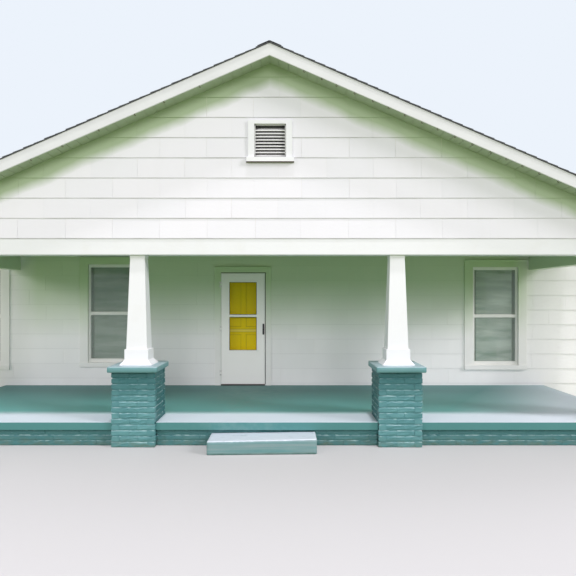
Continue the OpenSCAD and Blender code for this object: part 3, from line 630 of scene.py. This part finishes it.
def siding(origin, along, extent, first_line, cuts, seed, apex=None, pitch=wall_course, bond=wall_bond):
    """Lapped boards on a wall. Each is a wedge: its face stands board_foot_t proud at the course's
    foot and thins evenly to board_head_t. Under a gable its ends are cut to the slope, (apex less
    height) over the roof's slope. Returns points, quads, tone and nearness to the lap."""
    rows = course_boards(extent, first_line, pitch, cuts, bond, seed)
    low = points_at(rows[:, 0], 0, rows[:, 2])
    high = points_at(rows[:, 1], board_bed, rows[:, 3])
    points, quads, unit = blocks(low, high, [(0, 0.5, 1), (0, 1), (0, 0.035, 0.5, 1)])
    x, z = points[..., 0], points[..., 2]
    share = ((z - rows[:, 4:5]) / pitch).clip(0, 1)
    proud = board_foot_t + (board_head_t - board_foot_t) * share + rows[:, 6:7]
    points[..., 1] = np.where(unit[:, 1] < 0.5, -proud, board_bed)
    if apex is not None:
        reach = ((apex - z) / roof_slope).clip(0, None)
        points[..., 0] = x.clip(-reach, reach)
        kept = np.ptp(points[..., 0], axis=1) > least_tip
        points, share, rows = points[kept], share[kept], rows[kept]
        quads = quads.reshape(len(kept), -1, 4)[:len(points)].reshape(-1, 4)
    tone, lap = np.repeat(rows[:, 5], len(unit)), (share < 0.02).astype(float)
    return set_out(points, origin, along), quads, tone, lap


def cuts_in(boxes, along, start=(0, 0, 0), margin=under_casing):
    """The holes that siding leaves for openings: the casings' outlines, less margin on each side, as
    (left, right, foot, top) along a wall that starts at start."""
    places = (boxes - np.asarray(start)) @ np.asarray(along, float)
    left, right = places.min(1) + margin, places.max(1) - margin
    return list(zip(left, right, boxes[:, 0, 2] + margin, boxes[:, 1, 2] - margin))


casing_boxes = solids("window_casings")
vent_boxes = front_to_back("vent_casings")
doorway = np.array([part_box("door_head")])
doorway[0, 0, 2] = porch_top - 1
door_middle = (doorway[0, 0, 0] + doorway[0, 1, 0]) / 2


def casings_at(axis, face):
    """The window casings within 0.3 m of face along axis 0 or 1, which are those of one wall."""
    return casing_boxes[np.abs(casing_boxes.mean(1)[:, axis] - face) < 0.3]


first_course, left_course = porch_top + 0.035, porch_top + 0.129
upper_line = first_course + 10 * wall_course
corner = corner_board_w - 0.005
house_inner = house_half - corner
siding_peak, porch_peak = main_apex + hidden_by_roof, porch_apex + hidden_by_roof
to_right, to_left = (1, 0, 0), (-1, 0, 0)

front_cuts = cuts_in(casings_at(1, wall_face), to_right) + cuts_in(doorway, to_right)
fronts = [siding((0, wall_face, 0), to_right, extent, first, front_cuts, seed, siding_peak)
          for extent, first, seed in (
              ((-house_inner, door_middle, room_foot, upper_line), left_course, 71),
              ((door_middle, house_inner, room_foot, upper_line), first_course, 72),
              ((-house_half, house_half, upper_line, siding_peak), first_course, 73))]

rear_cuts = cuts_in(casings_at(1, rear_face), to_left)
rear_cuts += cuts_in(vent_boxes[1:], to_left, margin=under_vent_casing)
rears = [siding((0, rear_face, 0), to_left, extent, first_course, rear_cuts, seed, siding_peak)
         for extent, seed in (((-house_inner, house_inner, room_foot, upper_line), 74),
                              ((-house_half, house_half, upper_line, siding_peak), 75))]

sides = []
side_extent = (corner, rear_face - wall_face - corner, room_foot, eave_plate)
for side, seed in ((-1, 76), (1, 77)):
    start, along = (side * house_half, wall_face if side > 0 else rear_face, 0), (0, side, 0)
    cuts = cuts_in(casings_at(0, side * house_half), along, start)
    sides.append(siding(start, along, side_extent, first_course, cuts, seed))

porch_extent = (-porch_half, porch_half, beam_top, porch_peak)
porch_cuts = cuts_in(vent_boxes[:1], to_right, margin=under_vent_casing)
porch_boards = [siding((0, beam_face, 0), to_right, porch_extent, beam_top, porch_cuts, 78, porch_peak,
                       gable_course, gable_bond)]

side_paint, gable_paint, porch_paint = map(white_siding_paint, (None, main_apex, porch_apex))
# dust sets how strongly the lap line of dust and painted shade shows, least on the front walls.
for name, runs, paint, dust in (
        ("front_siding", fronts, gable_paint, 0.35),
        ("rear_siding", rears, gable_paint, 0.8),
        ("side_siding", sides, side_paint, 0.8),
        ("porch_gable_siding", porch_boards, porch_paint, 0.8)):
    points, quads, tone, lap = joined(runs)
    new_piece(name, points, quads, paint, "white_siding", tone=tone, lap=dust * lap)


def white_trim_paint(sheltered=False, shaded_within=None):
    """White gloss paint on planed boards: even, with faint brush marks and a little dust. Where it is
    sheltered, it carries the porch's green painted shade, and with shaded_within, a green painted shade
    on all that lies nearer than shaded_within to the middle of the porch."""
    finish = new_finish("white_trim_paint", (238, 240, 241), 0.4)
    dust = graded(speckle(finish, 4, detail=6), 0.5, 0.85)
    clean = (238, 238, 234) if sheltered else (235, 237, 239)
    aged = blended(dust * 0.35, clean, (225, 225, 221))
    # Painted shade: the porch's green shade on sheltered trim.
    if sheltered:
        aged = blended(porch_shade(finish) * 1.25, aged, porch_shade_green)
    # Painted shade: green on all that lies inside shaded_within.
    if shaded_within is not None:
        inner = graded(abs(coordinate(finish, "X")), shaded_within + 0.01, shaded_within)
        aged = blended(inner * 0.8, aged, (191, 213, 167))
    return painted(finish, aged, speckle(finish, 70, (1, 1, 0.2), 4), 0.0003)


trim_paint = white_trim_paint()
# On casings and door frames within the porch this paint carries the porch's green painted shade.
casing_paint = white_trim_paint(sheltered=True)


def block_piece(name, low, high, planes, arris, finish, slot, body="house"):
    """A piece of one block for each pair of low and high corners, with rounded arrises."""
    points, quads, _ = blocks(low, high, planes, arris)
    new_piece(name, points, quads, finish, slot, body)


low, high = [], []
for x, y in ((-1, wall_face), (1, wall_face), (-1, rear_face), (1, rear_face)):
    inward = 1 if y == wall_face else -1
    x_out, y_out = x * (house_half + corner_board_t), y - inward * corner_board_t
    y_seat = y + inward * board_bed
    for a, b in (((x_out, y_out), (x * (house_half - corner_board_w), y_seat)),
                 ((x_out, y_seat), (x * (house_half - board_bed), y + inward * corner_board_w))):
        low.append((min(a[0], b[0]), min(a[1], b[1]), room_foot))
        high.append((max(a[0], b[0]), max(a[1], b[1]), eave_plate + 0.005))
block_piece("corner_boards", low, high, [(0, 0.08, 0.92, 1), (0, 0.08, 0.92, 1), (0, 1)], 0.002,
            trim_paint, "white_trim")


# Roof boarding and its underside
# Sawn rafters carry the roof boards. Under the eaves and rakes the boards are planed, tongued and
# painted, and run from front to back. Their grey-green colour is painted shade.

soffit_board_w, soffit_board_t, soffit_gap, soffit_seat = 0.133, 0.009, 0.003, 0.002
fascia_t = 0.025
slope_length = math.hypot(1, roof_slope)


def on_slope(points, side, half_width, apex, y0, y1):
    """Points given as (along, inward, up the slope) on the side of a roof that peaks at apex, from
    the eave at half_width."""
    start = (side * half_width, y0 if side > 0 else y1, apex - half_width * roof_slope)
    return set_out(points, start, (0, side, 0), np.array([-side, 0, roof_slope]) / slope_length)


def soffit_strips(half_width, apex, y0, y1, first, side):
    """Boards that hang under one slope of a roof between y0 and y1, from first metres out to the
    eave, side by side along the slope."""
    length = (half_width - first) * slope_length
    starts = np.arange(math.ceil(length / soffit_board_w)) * soffit_board_w
    tops = np.minimum(starts + soffit_board_w - soffit_gap / 2, length)
    low = points_at(0, -soffit_seat, starts + soffit_gap / 2)
    high = points_at(y1 - y0, soffit_board_t, tops)
    points, quads, _ = blocks(low, high, [(0, 1), (0, 0.75, 1), (0, 0.03, 0.97, 1)], 0.003)
    return on_slope(points, side, half_width, apex, y0, y1), quads


deck_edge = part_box("eave_fascias")[1].x - fascia_t
fascia_faces = solids("eave_fascias")[:, 1, 0]
porch_deck_edge = fascia_faces[(fascia_faces > 0) & (fascia_faces < deck_edge)].max() - fascia_t
rakes = front_to_back("rake_boards_left")
porch_rake, front_rake, _ = rakes[:, 1, 1]
rear_rake_inner = rakes[2, 0, 1]
soffits = [soffit_strips(*strip, side) for side in (-1, 1) for strip in (
    (deck_edge, main_apex, front_rake, wall_face + 0.001, 0),
    (deck_edge, main_apex, rear_face - 0.001, rear_rake_inner, 0),
    (deck_edge, main_apex, wall_face, rear_face, house_half),
    (porch_deck_edge, porch_apex, porch_rake, beam_face + 0.001, 0),
    (porch_deck_edge, porch_apex, beam_face, wall_face, porch_half))]
# Painted shade: the undersides' paint is grey-green.
underside_shade = mottled("underside_shade_paint", (164, 178, 152), ((152, 168, 138), (178, 190, 168)),
                   (2.5, (1, 1, 1), 6), 0.6, (70, (1, 0.2, 1), 4), 0.0003)
dress("roof_deck_left", underside_shade)
dress("roof_deck_right", underside_shade)
new_piece("soffit_boards", *joined(soffits), underside_shade, "roof_boards")


# Rake boards and fascias
# Planed boards nailed to the ends of the roof boarding and to the rafters' tails, painted white and
# chalked to a pale grey by the weather. Small browned steel hooks for a string of lamps are screwed
# in along the front rakes' feet.

hook_wire, hook_radius, hook_shank, hook_spacing = 0.0035, 0.011, 0.012, 0.205
hook_sides, hook_steps, first_hook = 5, 9, 0.2
rake_w, rake_t = 0.140, 0.025

rake_paint = mottled("weathered_trim_paint", (220, 222, 223), ((212, 214, 215), (228, 230, 231)),
                     (3, (1, 1, 3), 6), 0.5, (70, (0.2, 1, 1), 4), 0.0003)
for node in ("rake_boards_left", "rake_boards_right", "eave_fascias"):
    dress(node, rake_paint, 0.003)


def between_rings(ring, next_ring):
    """The quads between rings of point numbers and the rings that follow them."""
    corners = [ring, np.roll(ring, -1, 1), np.roll(next_ring, -1, 1), next_ring]
    return np.stack(corners, -1).reshape(-1, 4)


def wire_hooks(places):
    """Open hooks in the plane of X and Z: a circle of wire swept through 250 degrees below a short
    straight shank, one for each place."""
    turn = np.radians(np.linspace(90, 340, hook_steps))
    path = points_at(np.cos(turn), 0, np.sin(turn) - 1) * hook_radius
    path = np.concatenate([[[0, 0, hook_shank]], path])
    ahead = np.gradient(path, axis=0)
    ahead /= np.linalg.norm(ahead, axis=1, keepdims=True)
    across = np.cross(ahead, (0, 1, 0))[:, None]
    angles = np.radians(np.arange(0, 360, 360 / hook_sides))[:, None]
    tube = path[:, None] + hook_wire * (np.cos(angles) * across + np.sin(angles) * np.array([0, 1, 0]))
    index = np.arange(len(path) * hook_sides).reshape(-1, hook_sides)
    points = np.asarray(places)[:, None] + tube.reshape(-1, 3)
    return points, repeated(between_rings(index[:-1], index[1:]), index.size, len(places))


hook_x = first_hook + np.cumsum(np.random.default_rng(41).uniform(0.85, 1.15, 24)) * hook_spacing
hook_x = np.r_[-2 * hook_x, hook_x]
hook_x = hook_x[np.abs(hook_x) < porch_deck_edge]
hook_z = rakes[0, 1, 2] - rake_w * slope_length - np.abs(hook_x) * roof_slope
hook_places = points_at(hook_x, porch_rake - rake_t / 2, hook_z)
steel = mottled("dark_steel", (58, 52, 46), ((46, 42, 38), (92, 74, 56)), (90,), 0.5, Metallic=0.6)
new_piece("lamp_hooks", *wire_hooks(hook_places), steel, "bare_metal", smooth=True)


# Shingles and ridge caps
# Three-tab asphalt shingles, charcoal granules on felt, nailed in courses from the eaves up with
# 143 mm to the weather. Single tabs are bent over the ridge and lapped along it.

exposure, tab_width, tab_slot, tab_lap = 0.143, 0.305, 0.007, 0.01
shingle_t, felt_t, tab_foot_t, tab_head_t = 0.020, 0.009, 0.0105, 0.002
cap_lap, cap_t, cap_foot_t, cap_head_t = 0.03, 0.006, 0.0055, 0.002


def charcoal_granules():
    """Charcoal mineral granules: mixed grey grains, each tab a tone apart, and a pale bloom of dust."""
    finish = new_finish("charcoal_granules", (62, 64, 67), 0.85)
    tabs = blended(carried(finish, "tone"), (48, 50, 53), (74, 76, 79))
    grains = graded(speckle(finish, 420, detail=2), 0.42, 0.62)
    mixed = blended(grains * 0.5, tabs, (104, 105, 106))
    bloom = graded(speckle(finish, 1.1, detail=5), 0.5, 0.8)
    lap_dust_and_shade = blended(bloom * 0.3, mixed, (112, 112, 108))
    return painted(finish, lap_dust_and_shade, speckle(finish, 380, detail=2), 0.0012)


granules = charcoal_granules()


def shingled_slope(side, box, seed):
    """One slope: a felt sheet, and on it a wedge for each tab, thickest at its foot, in courses of one
    exposure with the slots staggered by half a tab. The lowest course is cut plumb at the eave."""
    rng = np.random.default_rng(seed)
    half_width, y0, y1 = np.abs(box[:, 0]).max(), box[0, 1], box[1, 1]
    length, run = half_width * slope_length, y1 - y0
    felt, felt_quads, _ = blocks((0, -felt_t, 0), (run, 0, length), plain_planes)
    low, high = [], []
    for row in range(math.ceil(length / exposure)):
        foot = row * exposure
        top = min(foot + exposure + tab_lap, length)
        edges = np.arange(-(row % 2) * tab_width / 2, run, tab_width) + rng.normal(0, 0.002)
        left, right = edges.clip(0, run), (edges + tab_width - tab_slot).clip(0, run)
        kept = right - left > 0.01
        feet = (foot + rng.normal(0, 0.0012, kept.sum())).clip(0, None)
        low.append(points_at(left[kept], 0, feet))
        high.append(points_at(right[kept], 1, top))
    tabs, tab_quads, unit = blocks(np.concatenate(low), np.concatenate(high), plain_planes)
    curl = rng.uniform(-0.0012, 0.0, (len(tabs), 1))
    proud = np.where(unit[:, 2] < 0.5, tab_foot_t, tab_head_t) + curl
    tabs[..., 1] = -felt_t - np.where(unit[:, 1] < 0.5, proud, 0) + 0.0005
    tone = np.r_[np.full(8, 0.2), np.repeat(rng.beta(2, 2, len(tabs)), len(unit))]
    points, quads = joined([(felt, felt_quads), (tabs, tab_quads)])
    placed = on_slope(points, side, half_width, box[1, 2] - shingle_t * slope_length, y0, y1)
    placed[:, 0] = placed[:, 0].clip(-half_width, half_width)
    return placed, quads, tone


def ridge_tabs(box, seed):
    """Bent tabs along a ridge: each is a sheet whose height falls from the fold by the roof's slope,
    thick at its front edge and thin where the next one laps it."""
    rng = np.random.default_rng(seed)
    half = box[1, 0]
    starts = np.arange(box[0, 1], box[1, 1] - 0.01, exposure)
    ends = np.minimum(starts + exposure + cap_lap, box[1, 1])
    low, high = points_at(-half, starts, 0), points_at(half, ends, 1)
    points, quads, unit = blocks(low, high, [(0, 0.25, 0.47, 0.53, 0.75, 1), (0, 1), (0, 1)])
    frayed = rng.normal(0, 0.0015, (len(starts), 1)) * (np.abs(points[..., 0]) > half * 0.9)
    x = points[..., 0] + frayed
    thick = np.where(unit[:, 1] < 0.5, cap_foot_t, cap_head_t) * slope_length
    points[..., 0] = x.clip(-half, half)
    base = box[1, 2] - cap_t * slope_length
    points[..., 2] = base - np.abs(x) * roof_slope + np.where(unit[:, 2] > 0.5, thick, -0.001)
    return points, quads, np.repeat(rng.beta(2, 2, len(starts)), len(unit))


for name, node, runs in (
        ("shingle_courses_left", "shingles_left",
         [shingled_slope(-1, box, 88 + k) for k, box in enumerate(front_to_back("shingles_left"))]),
        ("shingle_courses_right", "shingles_right",
         [shingled_slope(1, box, 92 + k) for k, box in enumerate(front_to_back("shingles_right"))]),
        ("ridge_tabs", "ridge_caps",
         [ridge_tabs(box, 97 + k) for k, box in enumerate(front_to_back("ridge_caps"))])):
    points, quads, tone = joined(runs)
    new_piece(name, points, quads, granules, "dark_shingles", nodes=(node,), tone=tone)


# Windows
# Double-hung wooden sashes in cased openings, with a drip cap over the head casing and a sill. Each
# pane is held by a slim bead, and a roller shade of pale cloth hangs inside.

bead_w, bead_t = 0.009, 0.007


def shade_cloth():
    """Pale woven shade cloth with painted reflections, broad dark and pale stripes and pale patches,
    and painted shade that greys it in the windows at the left."""
    finish = new_finish("shade_cloth", (200, 206, 196), 0.8)
    weave = speckle(finish, 500, (1, 1, 0.05)) * speckle(finish, 500, (0.05, 0.05, 1))
    # Painted reflections: broad dark and pale stripes across the cloth, and pale patches.
    bands = graded(speckle(finish, 4.5, (0.3, 0.3, 1.8), 4), 0.35, 0.65)
    painted_light_share = graded(speckle(finish, 2.6, detail=4), 0.3, 0.72)
    cloth = blended(bands, (112, 134, 112), (232, 236, 228))
    cloth = blended(painted_light_share * 0.5, cloth, (206, 218, 216))
    # Painted shade: greyer in the windows at the left.
    painted_shade_left = graded(coordinate(finish, "X"), -1.6, -2.2)
    return painted(finish, blended(painted_shade_left * 0.48, cloth, (60, 78, 52)), weave, 0.0006)


dress("window_casings", casing_paint, 0.003)
dress("window_shades", shade_cloth())
# The sashes' older white paint has yellowed and soiled a little. Their drawn glass has a film of dust
# and a green cast: it is thin, so it is a see-through sheet, and uneven, so what it mirrors wavers.
sash_paint = mottled("sash_paint", (236, 236, 230), ((228, 228, 222), (242, 242, 238)),
                     (6, (1, 1, 1), 6), 0.38, (80, (1, 1, 0.2)), 0.0003)
window_pane = mottled("window_pane", (176, 196, 182), ((160, 182, 166), (190, 207, 196)),
                      (2.5, (1, 1, 0.6), 4), 0.04, (3, (1, 1, 1), 1), 0.0015, Alpha=0.26, IOR=1.9)
dress("window_sashes", sash_paint, 0.0025)
dress("window_glass", window_pane)


def beads_round(boxes, outwards, width, thickness):
    """Four mitred strips round each pane, lying on its outer face. A strip's section is a quarter
    round carried along the pane's outline: ring k lies at width times (1, 0.7, 0) in from the
    outline and stands thickness times (0, 0.7, 1) proud of the glass. Outwards gives -1 where a
    pane's outer face is its low one, and else 1."""
    parts = []
    for low, high in boxes:
        thin = int(np.argmin(high - low))
        wide = 1 - thin
        outward = outwards(low, high)
        face = (low if outward < 0 else high)[thin]
        rings = []
        for inset, rise in ((0, 0), (0, 1), (0.7, 0.7), (1, 0)):
            a0, a1 = low[wide] + width * inset, high[wide] - width * inset
            z0, z1 = low[2] + width * inset, high[2] - width * inset
            ring = np.zeros((4, 3))
            ring[:, wide] = (a0, a1, a1, a0)
            ring[:, 2] = (z0, z0, z1, z1)
            ring[:, thin] = face + outward * thickness * rise
            rings.append(ring)
        index = np.arange(16).reshape(4, 4)
        quads = between_rings(index, np.roll(index, -1, 0))
        if (outward < 0) != (thin == 1):
            quads = quads[:, ::-1]
        parts.append((np.concatenate(rings), quads))
    return joined(parts)


def away_from_middle(low, high):
    """-1 where a pane's outer face looks towards lower x or y, and 1 where it looks the other way."""
    middle = (low + high) / 2
    if high[1] - low[1] < high[0] - low[0]:
        return -1 if middle[1] < (wall_face + rear_face) / 2 else 1
    return -1 if middle[0] < 0 else 1


new_piece("window_beads", *beads_round(solids("window_glass"), away_from_middle, bead_w, bead_t),
          sash_paint, "white_sash")


# Doorway
# Pine jambs, head and casing, painted white, over a bronze-anodised sill that feet have brushed.
# Three butt hinges a leaf are under old white paint, chipped to the steel at the knuckles.


def painted_hinge():
    """Old white paint on steel, chipped through in small spots."""
    finish = new_finish("painted_hinge", (218, 218, 214), 0.4, Metallic=0.2)
    chips = graded(speckle(finish, 140, detail=4), 0.58, 0.66)
    return painted(finish, blended(chips, (222, 222, 218), (120, 116, 108)))


dark_aluminium = mottled("dark_aluminium", (70, 68, 64), ((52, 50, 47), (96, 93, 88)),
                         (30, (0.1, 1, 1)), 0.42, (300, (0.02, 1, 1)), 0.0003, Metallic=0.8)
dress("door_jambs", casing_paint, 0.003)
dress("door_head", casing_paint, 0.003)
dress("door_sill", dark_aluminium, 0.002)
dress("door_hinges", painted_hinge())


# Front door
# A panelled wooden door painted sun yellow, with a moulding across its middle. Its knobs are lacquered
# brass, mottled dark and pale.

belt_height, belt_half = porch_top + 0.990, 0.023


def yellow_gloss():
    """Sun-yellow gloss paint over wood, with brush marks along the stiles, a painted highlight on the
    moulding that stands out across the middle, and painted shade darkening the panels' corners and
    recesses."""
    finish = new_finish("yellow_gloss", (240, 210, 2), 0.4, Specular_IOR_Level=0.12)
    yellow = blended(speckle(finish, 3, (1, 1, 0.4), 5), (244, 214, 0), (254, 226, 2))
    # Painted highlight: paler on the moulding across the middle.
    belt = graded(abs(coordinate(finish, "Z") - belt_height), belt_half + 0.004, belt_half)
    with_painted_light = blended(belt * 0.6, yellow, (250, 232, 120))
    # Painted shade: darker in the panels' corners and recesses.
    corner_occlusion = field(finish, "AmbientOcclusion", "AO", {"Distance": 0.03})
    painted_corner_shade = graded(corner_occlusion, 0.93, 0.55) * 0.9
    brushed = speckle(finish, 90, (1, 1, 0.06), 4)
    return painted(finish, blended(painted_corner_shade, with_painted_light, (112, 92, 8)), brushed, 0.0004)


dress("front_door", yellow_gloss(), 0.002)
brass = mottled("aged_brass", (190, 160, 96), ((150, 118, 66), (206, 178, 112)), (50,), 0.3,
                Metallic=1.0)
dress("front_door_knobs", brass)


# Storm door
# An aluminium storm door in white enamel, with two panes in beads and black gaskets, a raised strip
# round both, and a black pull on a narrow plate. It shuts against a vinyl strip on the head and on
# the latch side's casing.

frame_strip_w, frame_strip_t, strip_seat = 0.026, 0.005, 0.001
glass_setback = 0.0175
plate_w, plate_margin, plate_t = 0.034, 0.004, 0.004
seal_w, seal_t, seal_foot, seal_gap = 0.011, 0.004, 0.022, 0.0015


def black_enamel():
    """Black enamel on a cast pull, rubbed a little at the grip."""
    finish = new_finish("black_enamel", (24, 24, 25), 0.35)
    rubbed = graded(speckle(finish, 60), 0.55, 0.8)
    return painted(finish, blended(rubbed, (20, 20, 21), (52, 50, 48)))


pull_black = black_enamel()
dress("storm_door_pull", pull_black)
# Baked enamel is smooth with a faint orange peel, and safety glass is a clear thin sheet.
enamel = mottled("factory_white", (248, 248, 248), ((248, 247, 242), (252, 251, 247)),
                 (2.5, (1, 1, 1), 5), 0.3, (150,), 0.0002)
door_pane = mottled("door_pane", (90, 100, 60), ((70, 84, 44), (120, 128, 84)),
                    (4, (1, 1, 1), 4), 0.02, (2, (1, 1, 1), 1), 0.0004, Alpha=0.04, IOR=1.15)
dress("storm_door", enamel, 0.002)
dress("storm_door_glass", door_pane)

storm_panes = solids("storm_door_glass")
# The black gaskets also stand in for the shade at the panes' edges.
for name, width, thickness, finish, slot in (
        ("storm_door_beads", 0.006, 0.012, enamel, "white_metal"),
        ("storm_door_gaskets", 0.011, 0.004, pull_black, "black_metal")):
    beads = beads_round(storm_panes, lambda low, high: -1, width, thickness)
    new_piece(name, *beads, finish, slot, body="storm_door")

(x0, _, z0), (x1, _, z1) = storm_panes[:, 0].min(0), storm_panes[:, 1].max(0)
leaf_face = storm_panes[0].mean(0)[1] - glass_setback
w, y0, y1 = frame_strip_w, leaf_face - frame_strip_t, leaf_face + strip_seat
low = [(x0 - w, y0, z0 - w), (x0 - w, y0, z1), (x0 - w, y0, z0), (x1, y0, z0)]
high = [(x1 + w, y1, z0), (x1 + w, y1, z1 + w), (x0, y1, z1), (x1 + w, y1, z1)]
block_piece("storm_door_frame_strips", low, high, [(0, 0.5, 1), (0, 0.4, 1), (0, 0.5, 1)], 0.002,
            enamel, "white_metal", "storm_door")

pull_low, pull_high = np.array(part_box("storm_door_pull"))
pull_x, door_face = (pull_low[0] + pull_high[0]) / 2, pull_high[1]
low = (pull_x - plate_w / 2, door_face - plate_t, pull_low[2] - plate_margin)
high = (pull_x + plate_w / 2, door_face, pull_high[2] + plate_margin)
block_piece("pull_plate", low, high, [(0, 0.1, 0.9, 1), (0, 1), (0, 0.02, 0.98, 1)], 0.001,
            pull_black, "black_metal", "storm_door")

# The black vinyl seal also stands in for the shade line along the leaf's head and latch side.
black_vinyl = mottled("black_vinyl", (38, 40, 38), ((30, 32, 31), (74, 76, 72)),
                      (40, (1, 1, 1), 4), 0.6)
clear_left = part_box("door_sill")[0].x
seal_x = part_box("door_sill")[1].x + seal_gap
clear_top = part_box("door_jambs")[1].z
casing_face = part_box("door_jambs")[0].y
y0, y1 = casing_face - seal_t, casing_face + strip_seat
low = [(clear_left, y0, clear_top), (seal_x, y0, porch_top + seal_foot)]
high = [(seal_x + seal_w, y1, clear_top + seal_w), (seal_x + seal_w, y1, clear_top + strip_seat)]
block_piece("storm_door_seal", low, high, [(0, 0.5, 1), (0, 0.6, 1), (0, 0.5, 1)], 0.001,
            black_vinyl, "black_metal")


# Porch columns and beams
# Box columns of planed boards, tapered and mitred at the corners, on a splayed skirt over the pier cap.
# The beams are boxed in the same boards. All are painted white, and a green painted shade lies on the
# side beams' inner faces and feet.

for node in ("column_bases", "porch_columns", "porch_front_beam"):
    dress(node, trim_paint, 0.004)
# The side beams' paint carries a green painted shade on their inner faces and feet.
dress("porch_side_beams", white_trim_paint(shaded_within=porch_half - 0.02), 0.004)


# Porch ceiling
# Narrow tongued boards with a sunk joint, nailed up across the rafters' ties. Like the boards under the
# eaves, they are painted the grey-green of painted shade.

ceiling_board_w, ceiling_board_t, ceiling_gap = 0.083, 0.010, 0.004
butt_gap, first_board, butt_step = 0.001, 0.04, 0.31

dress("porch_ceiling", underside_shade)
ceiling_low, ceiling_high = np.array(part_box("porch_ceiling"))
foot, seat = ceiling_low[2] - ceiling_board_t, ceiling_low[2] + 0.001
low, high = [], []
for number, y in enumerate(np.arange(ceiling_low[1] + first_board, ceiling_high[1], ceiling_board_w)):
    ends = np.linspace(ceiling_low[0], ceiling_high[0], 4)
    ends[1:3] += ((number * 7) % 5 - 2) * butt_step
    back = min(y + ceiling_board_w - ceiling_gap / 2, ceiling_high[1])
    for a, b in zip(ends[:-1], ends[1:]):
        low.append((a + butt_gap / 2, y + ceiling_gap / 2, foot))
        high.append((b - butt_gap / 2, back, seat))
block_piece("ceiling_boards", low, high, [(0, 1), (0, 0.05, 0.95, 1), (0, 0.4, 1)], 0.003,
            underside_shade, "white_trim")


# Gable vents
# Louvred wooden vents with flat casings and a projecting sill, painted white. A thin browned steel
# drip strip lies under each sill.

drip_t, drip_out = 0.005, 0.004


def louvre_paint():
    """White paint on the louvres' lips, with painted shade dark in the gaps between them."""
    finish = new_finish("louvre_paint", (236, 237, 235), 0.6)
    # Painted shade: dark in the gaps between the louvres.
    gap = field(finish, "AmbientOcclusion", "AO", {"Distance": 0.08})
    painted_gap_shade = graded(gap, 0.8, 0.3) * 0.9
    return painted(finish, blended(painted_gap_shade, (238, 239, 237), (58, 60, 56)))


dress("vent_casings", trim_paint, 0.002)
dress("vent_louvres", louvre_paint(), 0.001)
# The dark drip strips also stand in for the shade line under the sills.
low, high = [], []
for box in vent_boxes:
    near, far = box[0, 1] - drip_out, beam_face
    if box[0, 1] > 0:
        near, far = rear_face, box[1, 1] + drip_out
    low.append((box[0, 0] - drip_out, near, box[0, 2] - drip_t))
    high.append((box[1, 0] + drip_out, far, box[0, 2]))
block_piece("vent_drips", low, high, [(0, 0.02, 0.98, 1), (0, 0.3, 0.7, 1), (0, 0.5, 1)], 0.001,
            steel, "bare_metal")


# Setting
# A pale floor under a pale sky, a steep soft lamp over the front, three low soft ones before it and
# to both sides, two behind the house, and the camera where the photograph was taken from.

sky_colour, sky_tint = screen(236, 243, 252), (1.0, 0.965, 1.06, 1)
floor_colour, floor_return = (196, 197, 195), (130, 147, 98)
sky_light, lamp_colour = 0.49, (1.0, 0.953, 1.0)
floor_half = 120.0
camera_place, camera_turn = (0.205, -10.655, 1.897), (math.radians(90), 0, 0)
sensor_width, camera_lens, camera_shift = 36, 36.06, (0.0035, 0.0174)


def seen_directly(owner):
    """1 for a ray from the camera, off a gloss or through a pane, and 0 for one that brings light."""
    seen, gloss, through = [field(owner, "LightPath", "Is %s Ray" % kind, {})
                            for kind in ("Camera", "Glossy", "Transmission")]
    return worked_out("MAXIMUM", worked_out("MAXIMUM", seen, gloss), through)


world = bpy.data.worlds.new("pale_sky")
bpy.context.scene.world = world
world.use_nodes = True
world.node_tree.nodes.clear()
light = field(world, "Background", 0, {"Color": sky_tint, "Strength": sky_light})
view = field(world, "Background", 0, {"Color": sky_colour, "Strength": 1.0})
mix = field(world, "MixShader", 0, {0: seen_directly(world), 1: light, 2: view})
add_node(world, "OutputWorld", {"Surface": mix})

floor_finish = new_finish("pale_floor", floor_colour, 0.9)
painted(floor_finish, blended(seen_directly(floor_finish), floor_return, floor_colour))
mesh = bpy.data.meshes.new("floor")
mesh.from_pydata([(-floor_half, -floor_half, 0), (floor_half, -floor_half, 0),
                  (floor_half, floor_half, 0), (-floor_half, floor_half, 0)], [], [(0, 1, 2, 3)])
mesh.materials.append(floor_finish)
floor = new_object("floor", mesh)


def soft_lamp(name, strength, elevation, azimuth, spread):
    """A distant lamp: elevation above the horizon and azimuth to the right of straight ahead, seen
    from the street, in degrees. Spread is the angle that it fills, which softens its shadows."""
    lamp = bpy.data.lights.new(name, "SUN")
    lamp.energy, lamp.angle, lamp.color = strength, math.radians(spread), lamp_colour
    turn = (math.radians(90 - elevation), 0, math.radians(azimuth))
    new_object(name, lamp).rotation_euler = turn


soft_lamp("steep_lamp", 1.5, 76.5, 8, 5)
soft_lamp("right_lamp", 1.45, 27, 62, 16)
soft_lamp("left_lamp", 0.52, 16, -45, 16)
soft_lamp("front_lamp", 0.75, 14, 5, 20)
soft_lamp("rear_right_lamp", 0.8, 42, 140, 40)
soft_lamp("rear_left_lamp", 0.8, 42, -125, 40)

camera_data = bpy.data.cameras.new("street_camera")
camera_data.sensor_width, camera_data.lens = sensor_width, camera_lens
camera_data.shift_x, camera_data.shift_y = camera_shift
camera = new_object("street_camera", camera_data)
camera.location, camera.rotation_euler = camera_place, camera_turn
bpy.context.scene.camera = camera
bpy.context.scene.view_settings.view_transform = "Standard"
